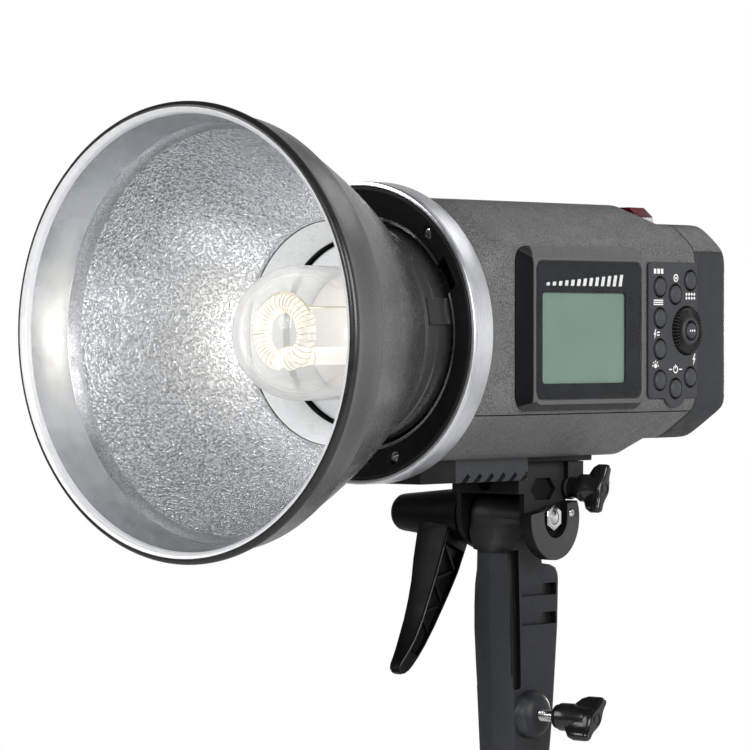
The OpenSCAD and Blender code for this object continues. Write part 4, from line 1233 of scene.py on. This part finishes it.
# Stations down the arm from the tilt axis, and its front, back and half width there
LEVER_S = (0, 12, 24, 33, 42, 51, 60, 66, 70, 73, 75, 76.2)
LEVER_FRONT = (-8, -7.2, -5.7, -4.4, -3.7, -3.3, -3.8, -4.6, -5.5, -6.2, -6.1, -5)
LEVER_BACK = (8.4, 8.2, 8.7, 8.5, 7.6, 6.3, 4.6, 3.4, 2.3, 1.1, -0.4, -2.2)
LEVER_HALF = (9.2, 8.8, 7.9, 6.8, 6, 5.5, 4.9, 4.1, 3.5, 3.1, 2.7, 2.0)


def lever_section(s, grow=0.0):
    """Front, back and half width of the lever's arm, s down from the tilt axis."""
    return (np.interp(s, LEVER_S, LEVER_FRONT) + grow, np.interp(s, LEVER_S, LEVER_BACK) - grow,
            np.interp(s, LEVER_S, LEVER_HALF) - grow)


def lever_arm():
    """Curved arm of the lever, before it leans."""
    rows = []
    for s in (0, 6, 12, 18, 24, 28.5, 33, 37.5, 42, 46.5, 51, 55.5, 60, 63, 66, 70, 73, 75,
              76.2):
        front, back, half_w = lever_section(s)
        rows.append([(x, y, TILT_Z - s) for x, y in
                     soft_rect(LEVER_X - half_w, LEVER_X + half_w, front, back,
                               min(1.1, (back - front) / 2 - 0.05), 4)])
    return loft(rows)


def lever_channel():
    """Room of the channel along the arm's near side."""
    rows = []
    for s in (15, 20, 24, 28.5, 33, 37.5, 42, 46.5, 51, 55.5, 60, 66):
        front, back, half_w = lever_section(s, LEVER_WALL)
        rows.append([(LEVER_X + half_w + dx, y, TILT_Z - s)
                     for dx, y in ((-1.4, front), (4, front), (4, back), (-1.4, back))])
    return loft(rows)


def lever_rib(s, slant):
    """Thin slanted rib across the channel."""
    front, back, half_w = lever_section(s, LEVER_WALL)
    bar = block(LEVER_X + half_w - 1.6, LEVER_X + half_w + 0.1, front, back,
                TILT_Z - s - 0.5, TILT_Z - s + 0.5)
    return moved(bar, tilt_about_x(slant, (front + back) / 2, TILT_Z - s))


def lever():
    """Tilt lever: a tapered hub, and a thin curved arm with a ribbed channel."""
    lo, hi = corners("tilt_lever")
    x0, x1 = lo.x, hi.x
    hub = [(x0, 4.5), (x0 + 0.25, 5.8), (x0 + 0.9, 7.0), (x0 + 2.2, 7.9), (x0 + 4, 8.3),
           (x1 - 3.2, 12.0), (x1 - 3.0, 11.4), (x1 - 0.5, 11.6), (x1, 11.2)]
    arm_piece = mesh_object("lever_arm", [turn_x(hub, 0, TILT_Z, 64)])
    lean = tilt_about_x(-LEVER_LEAN, 0, TILT_Z)
    add(arm_piece, moved(lever_arm(), lean))
    cut(arm_piece, moved(lever_channel(), lean))
    add(arm_piece, *[moved(lever_rib(s, -38 if i % 2 == 0 else 38), lean)
                     for i, s in enumerate((20, 28, 36, 44, 52))])

    def pick(centre, normal):
        return 1 if normal.x > 0.8 and centre.z < TILT_Z - 12 else 0

    fit(arm_piece, "tilt_lever", "black_plastic", "tilt_lever", "lever_plastic",
        "black_plastic", pick=pick, sharp=38)


def wing_outline(length, middle, tip, steps=10):
    """Spindle with round ends: half length, half width in the middle and at the tips."""
    reach = length - tip
    side = []
    for i in range(2 * steps + 1):
        v = -reach + reach * i / steps
        side.append((tip + (middle - tip) * cos(pi / 2 * min(1, abs(v) / (0.8 * reach))) ** 2, v))
    top = arc(0, reach, tip, 12, 168, 8)
    other = [(-u, v) for u, v in reversed(side)]
    bottom = arc(0, -reach, tip, 192, 348, 8)
    return side + top + other + bottom


WING_SIZE = 0.89


def wing_knob(name, node, depth, lean):
    """Wing knob: a stepped hub and two swept wings."""
    lo, hi = corners(node)
    y, z = side_centre(node.replace("knob", "screw"))
    x = hi.x - depth
    sleeve = [(lo.x, 4.5)] if lo.x < x - 1 else []
    hub = sleeve + [(x, 4.6), (x + 0.3, 5.2)] + [(x + t * depth, r) for t, r in (
        (0.1, 5.5), (0.12, 6.0), (0.42, 6.0), (0.5, 5.2), (0.8, 4.6))]
    knob = mesh_object(name, [turn_x(hub, y, z, 48)])
    stations = ((0.30, 5.2, 4.2, 1.7), (0.38, 8.4, 4.6, 2.0), (0.48, 11.0, 4.4, 2.2),
                (0.62, 12.2, 4.2, 2.4), (0.9, 12.2, 4.0, 2.3), (0.97, 11.9, 3.7, 2.0),
                (1.0, 11.2, 3.1, 1.4))
    rows = []
    for t, length, middle, tip in stations:
        rows.append([(x + t * depth, y + u, z + v)
                     for u, v in wing_outline(length * WING_SIZE, middle, tip)])
    add(knob, moved(loft(rows), tilt_about_x(lean, y, z)))
    cut(knob, turn_x([(x + depth - 0.35, 2.4), (x + depth + 1, 2.4), (x + depth + 1, 1.6),
                      (x + depth - 0.35, 1.6)], y, z, 32, True))
    fit(knob, node, "black_plastic", node, "knob_plastic", sharp=42)


def wing_screw(name, node, body):
    """Plated screw: a threaded end and a plain shank."""
    lo, hi = corners(node)
    y, z = side_centre(node)
    pitch, crest, root = 0.85, 2.5, 2.1
    profile = [(lo.x, 1.9), (lo.x + 0.5, 2.3)]
    x = lo.x + 0.8
    while x < lo.x + 0.66 * (hi.x - lo.x):
        profile += [(x, crest), (x + 0.2, crest), (x + 0.45, root), (x + 0.6, root)]
        x += pitch
    profile += [(x, crest), (hi.x - 0.3, crest), (hi.x, 2.2)]
    screw = mesh_object(name, [turn_x(profile, y, z, 40)])
    fit(screw, body, "plated_steel", node, "bright_steel")


# ---- handle -----------------------------------------------------------------

FACET_DROP = 2.05
HEAD_HALF = 14.85
RIDGE_LEAN = 2.1
SOCKET_R, SOCKET_DEPTH = 8.1, 46
BARREL_R = 10
SLOT_Z = (63.9, 76.4)
SLOT_HALF = 2.6


def handle_row(z):
    """Section of the handle: a ridged front, flat sides and a round back."""
    front = np.interp(z, (0, 60, 85, 95, TILT_Z), (-11.4, -14.8, -14.8, -14.5, -9.8))
    back = np.interp(z, (0, 20, 60, 80, 83, 85.3, 86.8, 87.6, TILT_Z),
                     (15.6, 18, 21, 21.6, 21.3, 19.8, 16.0, 10.2, 9.4))
    half_w = np.interp(z, (0, 60, 92.5, 101.5), (9.8, 10.5, 10.5, HEAD_HALF))
    drop = np.interp(z, (95, TILT_Z), (FACET_DROP, 0.4))
    inset = 0.6 if z < 0.1 else 0
    r = min(3.2, (back - front) / 4)
    right = [(0.6, front + 0.12), (half_w - 0.9, front + drop - 0.15),
             (half_w - 0.2, front + drop + 0.2), (half_w, front + drop + 0.9)]
    right += arc(half_w - r, back - r, r, 0, 90, 8)
    left = [(-u, v) for u, v in reversed(right)]
    points = right + left
    return [(u * (1 - inset / half_w), v * (1 - inset / 15), z) for u, v in points]


def handle():
    """Stand handle: ridged front, side channels, finger slots, socket and barrel."""
    z_list = [0, 0.7, 20, 40, 60, 72, 80, 83, 84.2, 85.3, 86.2, 86.8, 87.6, 92.5,
              95, 98, 101.5, 105, TILT_Z]
    body = mesh_object("handle_grip", [loft([handle_row(z) for z in z_list])])
    screw_y, screw_z = side_centre("stand_screw")
    barrel = turn_x([(-HEAD_HALF, BARREL_R - 0.6), (0.6 - HEAD_HALF, BARREL_R),
                     (HEAD_HALF - 0.6, BARREL_R), (HEAD_HALF, BARREL_R - 0.6)], 0, TILT_Z, 64)
    collar = turn_x([(0, 10.4), (11.5, 10.4), (13.4, 9.9), (14.9, 8.9), (16, 7.4), (16.7, 5.8),
                     (17, 4.2)], screw_y, screw_z, 64)
    add(body, barrel, collar)
    tools = [turn([(-1, SOCKET_R), (SOCKET_DEPTH, SOCKET_R)], 2, 0, 0, 64),
             rod(0, 20, SCREW_BORE_R, screw_y, screw_z, 32),
             rod(-20, 20, PIVOT_BORE_R, 0, TILT_Z, 40)]
    for s in (-1, 1):
        groove = prism(soft_rect(-10.0, -4.8, 34, 94, 1.6), 0, s * 10.5 - 2.1, s * 10.5 + 2.1)
        tools.append(moved(groove, tilt_about_x(RIDGE_LEAN, -12.6, 0)))
        for z in SLOT_Z:
            foot = z - SLOT_HALF
            slope = [(s * 11.5, z + 2.9), (s * 10.6, z + 2.7), (s * 9.2, foot), (s * 11.5, foot)]
            tools.append(prism(slope, 1, -6, 18))
            tools.append(prism(soft_rect(8.6, 18, foot, z + SLOT_HALF, 0.4), 0, s * 10.5 - 3,
                               s * 10.5 + 3))
    pad_y = corners("grip_pad")[0].y
    tools.append(block(-8.3, 8.3, pad_y - 0.1, 30, 32, 58))
    cut(body, *tools)

    def pick(centre, normal):
        side = abs(centre.x)
        in_channel = 7 < side < 10.4 and -13.2 < centre.y < -6 and 33 < centre.z < 96
        in_slot = 7 < side < 10.2 and 8.5 < centre.y < 18.1 and 61 < centre.z < 79.2
        # Side channels and finger slots are painted black as shade
        if in_channel or in_slot:
            return 1
        # Front faces painted lighter as lit: painted light
        return 2 if normal.y < -0.6 and centre.z < 92 else 0

    fit(body, "handle", "black_plastic", "handle_body", "handle_plastic", "black_plastic",
        "handle_front_painted_light", pick=pick)


def grip_pad():
    """Soft pad let into the back of the handle, with cross ribs."""
    lo, hi = corners("grip_pad")
    lean = (hi.y - 0.3 - (lo.y + 1.2)) / (hi.z - lo.z)
    pad = mesh_object("grip_ribs", [
        prism([(lo.y, lo.z), (lo.y + 1.2, lo.z), (hi.y - 0.5, hi.z), (lo.y, hi.z)], 0,
              lo.x, hi.x)], 0.3)
    ribs = [prism(soft_rect(lo.y + 0.6, lo.y + 1.7 + lean * 2.8 * i, lo.z + 1.2 + 2.8 * i,
                            lo.z + 2.6 + 2.8 * i, 0.4, 3), 0, lo.x + 1, hi.x - 1)
            for i in range(9)]
    add(pad, *ribs)
    fit(pad, "handle", "soft_rubber", "grip_pad", "soft_rubber")


# ---- far side ---------------------------------------------------------------

def ribbed_tab(name, node, ribs, depth):
    """Small slide or latch: a soft-edged block with finger ribs."""
    lo, hi = corners(node)
    x0, x1 = lo.x, lo.x + depth
    tab = mesh_object(name, [block(x0 + 0.5, x1, lo.y, hi.y, lo.z, hi.z)], 0.5)
    pitch = (hi.z - lo.z - 2) / ribs
    add(tab, *[block(x0 + 0.05, x0 + 0.8, lo.y + 1, hi.y - 1, lo.z + 1.3 + pitch * i,
                     lo.z + 1.3 + pitch * i + pitch * 0.45) for i in range(ribs)])
    return fit(tab, node, "black_plastic", node, "black_plastic")


def release_catch():
    """Slide on a stem that goes through the cover's slot."""
    lo, hi = corners("release_catch")
    middle = (lo.z + hi.z) / 2
    catch = ribbed_tab("catch_slide", "release_catch", 5, 2.9)
    add(catch, block(lo.x + 2.2, lo.x + 9.2, lo.y + 3.3, lo.y + 6.9, middle - 2.1, middle + 2.1))
    shade(catch.data, 32)


def port_cover():
    """Rubber flap over the jacks, with a hinge roll, a frame line and a pull lip."""
    lo, hi = corners("port_cover")
    x0, x1 = lo.x + 1.0, hi.x
    top, foot = hi.z, lo.z + 1.2
    outline = soft_rect(lo.y, hi.y, foot, AXIS_Z + 7, 2.4)
    flap = mesh_object("jack_flap", [prism(outline, 0, x0, x1)], 0.4)
    frame_line = soft_rect(lo.y + 2.5, hi.y - 2.5, foot + 3, top - 4, 1.6)
    inner = soft_rect(lo.y + 3.3, hi.y - 3.3, foot + 3.8, top - 4.8, 1.2)
    cut(flap, loft([[(x, u, v) for u, v in path] for x, path in
                    ((x0 - 1, frame_line), (x0 + 0.3, frame_line), (x0 + 0.3, inner),
                     (x0 - 1, inner))], closed=True))
    roll = turn([(lo.y + 2, 0.78), (hi.y - 2, 0.78)], 1, x0 + 0.85, lo.z + 0.8, 20)
    lip = prism(soft_rect(lo.y + 12, lo.y + 19, AXIS_Z + 4, AXIS_Z + 6, 0.8, 3), 0, lo.x, x0 + 0.5)
    add(flap, roll, lip, block(x0 + 0.4, x0 + 1.2, lo.y + 2, hi.y - 2, lo.z + 0.8, foot + 1))
    fit(flap, "port_cover", "soft_rubber", "port_cover", "soft_rubber")


# ---- CAD nodes that stay, with their finishes -------------------------------

CARRIED = {
    "lamp_ceramic": ("lamp_socket", "tube_base"),
    "tube_glass": ("modelling_lamp",),
    "lcd_glass": ("lcd_panel",),
    "board_green": ("main_board", "control_board"),
    "capacitor_sleeve": ("capacitors",),
    "cell_sleeve": ("battery_cells",),
    "black_plastic": ("battery_bay", "battery_case", "fan_frame", "fan_rotor", "jacks",
                      "case_screws", "friction_washers"),
    "bright_steel": ("mount_ring",),
    "brass": ("battery_terminals",),
}


def carried_finishes():
    """Gives each CAD node that shows as it is its finish."""
    for name, nodes in CARRIED.items():
        finish = material(name)
        for node in nodes:
            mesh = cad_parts[node].data
            for i in range(len(mesh.materials)):
                mesh.materials[i] = finish
            if not mesh.materials:
                mesh.materials.append(finish)


# ---- stage ------------------------------------------------------------------

def camera():
    """Long lens at the height of the optical axis, 40 degrees round from the front."""
    azimuth, pitch = radians(40.5), atan2(42, 4000)
    eye = Vector((1.0763, -1.3507, 0.187))
    ahead = Vector((-sin(azimuth) * cos(pitch), cos(azimuth) * cos(pitch), -sin(pitch)))
    data = bpy.data.cameras.new("camera")
    data.lens = 192
    data.sensor_width = 36
    view = show(bpy.data.objects.new("camera", data))
    view.location = eye
    view.rotation_mode = "QUATERNION"
    view.rotation_quaternion = ahead.to_track_quat("-Z", "Y")
    bpy.context.scene.camera = view


def softbox(name, at, size, power, colour=(1, 1, 1)):
    """Rectangular area light aimed at the middle of the head."""
    data = bpy.data.lights.new(name, "AREA")
    data.shape = "RECTANGLE"
    data.size, data.size_y = size
    data.energy = power
    data.color = colour
    light = show(bpy.data.objects.new(name, data))
    light.location = at
    light.rotation_mode = "QUATERNION"
    light.rotation_quaternion = (Vector(TARGET) - Vector(at)).to_track_quat("-Z", "Y")


def studio_world():
    """White room: white to the eye, and a softer gradient as light, bright behind."""
    world = bpy.data.worlds.new("studio")
    bpy.context.scene.world = world
    world.use_nodes = True
    tree = world.node_tree
    tree.nodes.clear()
    out = tree.nodes.new("ShaderNodeOutputWorld")
    seen = tree.nodes.new("ShaderNodeBackground")
    seen.inputs["Color"].default_value = (1, 1, 1, 1)
    lit = tree.nodes.new("ShaderNodeBackground")
    where = tree.nodes.new("ShaderNodeTexCoord")
    split = tree.nodes.new("ShaderNodeSeparateXYZ")
    tree.links.new(where.outputs["Generated"], split.inputs["Vector"])
    level = remap(tree, split.outputs["Y"], (-0.4, 0.9), (0.1, 0.8))
    size = tree.nodes.new("ShaderNodeMath")
    size.operation = "ABSOLUTE"
    tree.links.new(split.outputs["Z"], size.inputs[0])
    height = remap(tree, size.outputs[0], (0.6, 0.0), (0.2, 1.5))
    product = tree.nodes.new("ShaderNodeMath")
    product.operation = "MULTIPLY"
    tree.links.new(level, product.inputs[0])
    tree.links.new(height, product.inputs[1])
    tree.links.new(product.outputs[0], lit.inputs["Strength"])
    path = tree.nodes.new("ShaderNodeLightPath")
    mix = tree.nodes.new("ShaderNodeMixShader")
    tree.links.new(path.outputs["Is Camera Ray"], mix.inputs["Fac"])
    tree.links.new(lit.outputs[0], mix.inputs[1])
    tree.links.new(seen.outputs[0], mix.inputs[2])
    tree.links.new(mix.outputs[0], out.inputs["Surface"])


def floor():
    """Pale studio floor well below the head, which a stand would hold."""
    drop, reach = -420.0, 1500.0
    disc = mesh_object("studio_floor", [turn([(drop - 10, reach), (drop, reach)], 2, 0, 0, 96)])
    surface, tree, bsdf = shader("pale_floor")
    soft = grain(tree, 90.0, 2.0)
    drive(tree, bsdf, Base_Color=tint(tree, soft, grey(0.8), grey(0.84)),
          Roughness=spread(tree, soft, 0.75, 0.85))
    disc.data.materials.append(surface)


def lamp_glow():
    """Modelling light inside the dome."""
    data = bpy.data.lights.new("modelling_glow", "POINT")
    data.energy = 0.025
    data.color = (1.0, 1.0, 0.98)
    data.shadow_soft_size = 0.012
    light = show(bpy.data.objects.new("modelling_glow", data))
    light.location = Vector((0, RIM_Y + 74, AXIS_Z)) * MM


# Each softbox: name, place and size in metres, power in watts, and colour if not white
TARGET = (0, -0.06, 0.18)
SOFTBOXES = (
    ("key", (1.5, -0.3, 0.6), (0.9, 0.9), 23),
    ("front", (0.5, -1.8, 0.7), (0.7, 0.6), 13),
    ("left", (-1.0, -1.5, 0.8), (0.6, 0.9), 10),
    ("rim", (0.15, 1.2, 1.2), (0.8, 0.6), 2),
    ("low", (1.2, -0.5, -0.3), (0.6, 0.4), 0.4, (1.0, 0.93, 0.88)),
    ("behind", (-0.75, 1.9, 0.25), (0.5, 0.4), 9),
)


def stage():
    camera()
    studio_world()
    floor()
    lamp_glow()
    for light in SOFTBOXES:
        softbox(*light)
    bpy.context.scene.view_settings.view_transform = "Standard"


# ---- assembly ---------------------------------------------------------------

reflector_bowl()
reflector_neck()
glass_dome()
flash_tube()
trigger_wire()
lamp_pan()
ring_band()
bell()
mount_screws()
upper_shell()
lower_shell()
battery_block()
sensor()
screen_bezel()
screen_glass()
keypad_plate()
for key in KEYS:
    key_cap(key)
panel_marks()
dial()
dial_key()
bracket()
boss()
tilt_nut()
tilt_bolt()
lever()
wing_knob("umbrella_wings", "umbrella_knob", 13.5, -20)
wing_knob("stand_wings", "stand_knob", 21, -38)
wing_screw("umbrella_thread", "umbrella_screw", "umbrella_knob")
wing_screw("stand_thread", "stand_screw", "stand_knob")
handle()
grip_pad()
release_catch()
ribbed_tab("latch_button", "battery_latch", 6, 5)
port_cover()
carried_finishes()
stage()
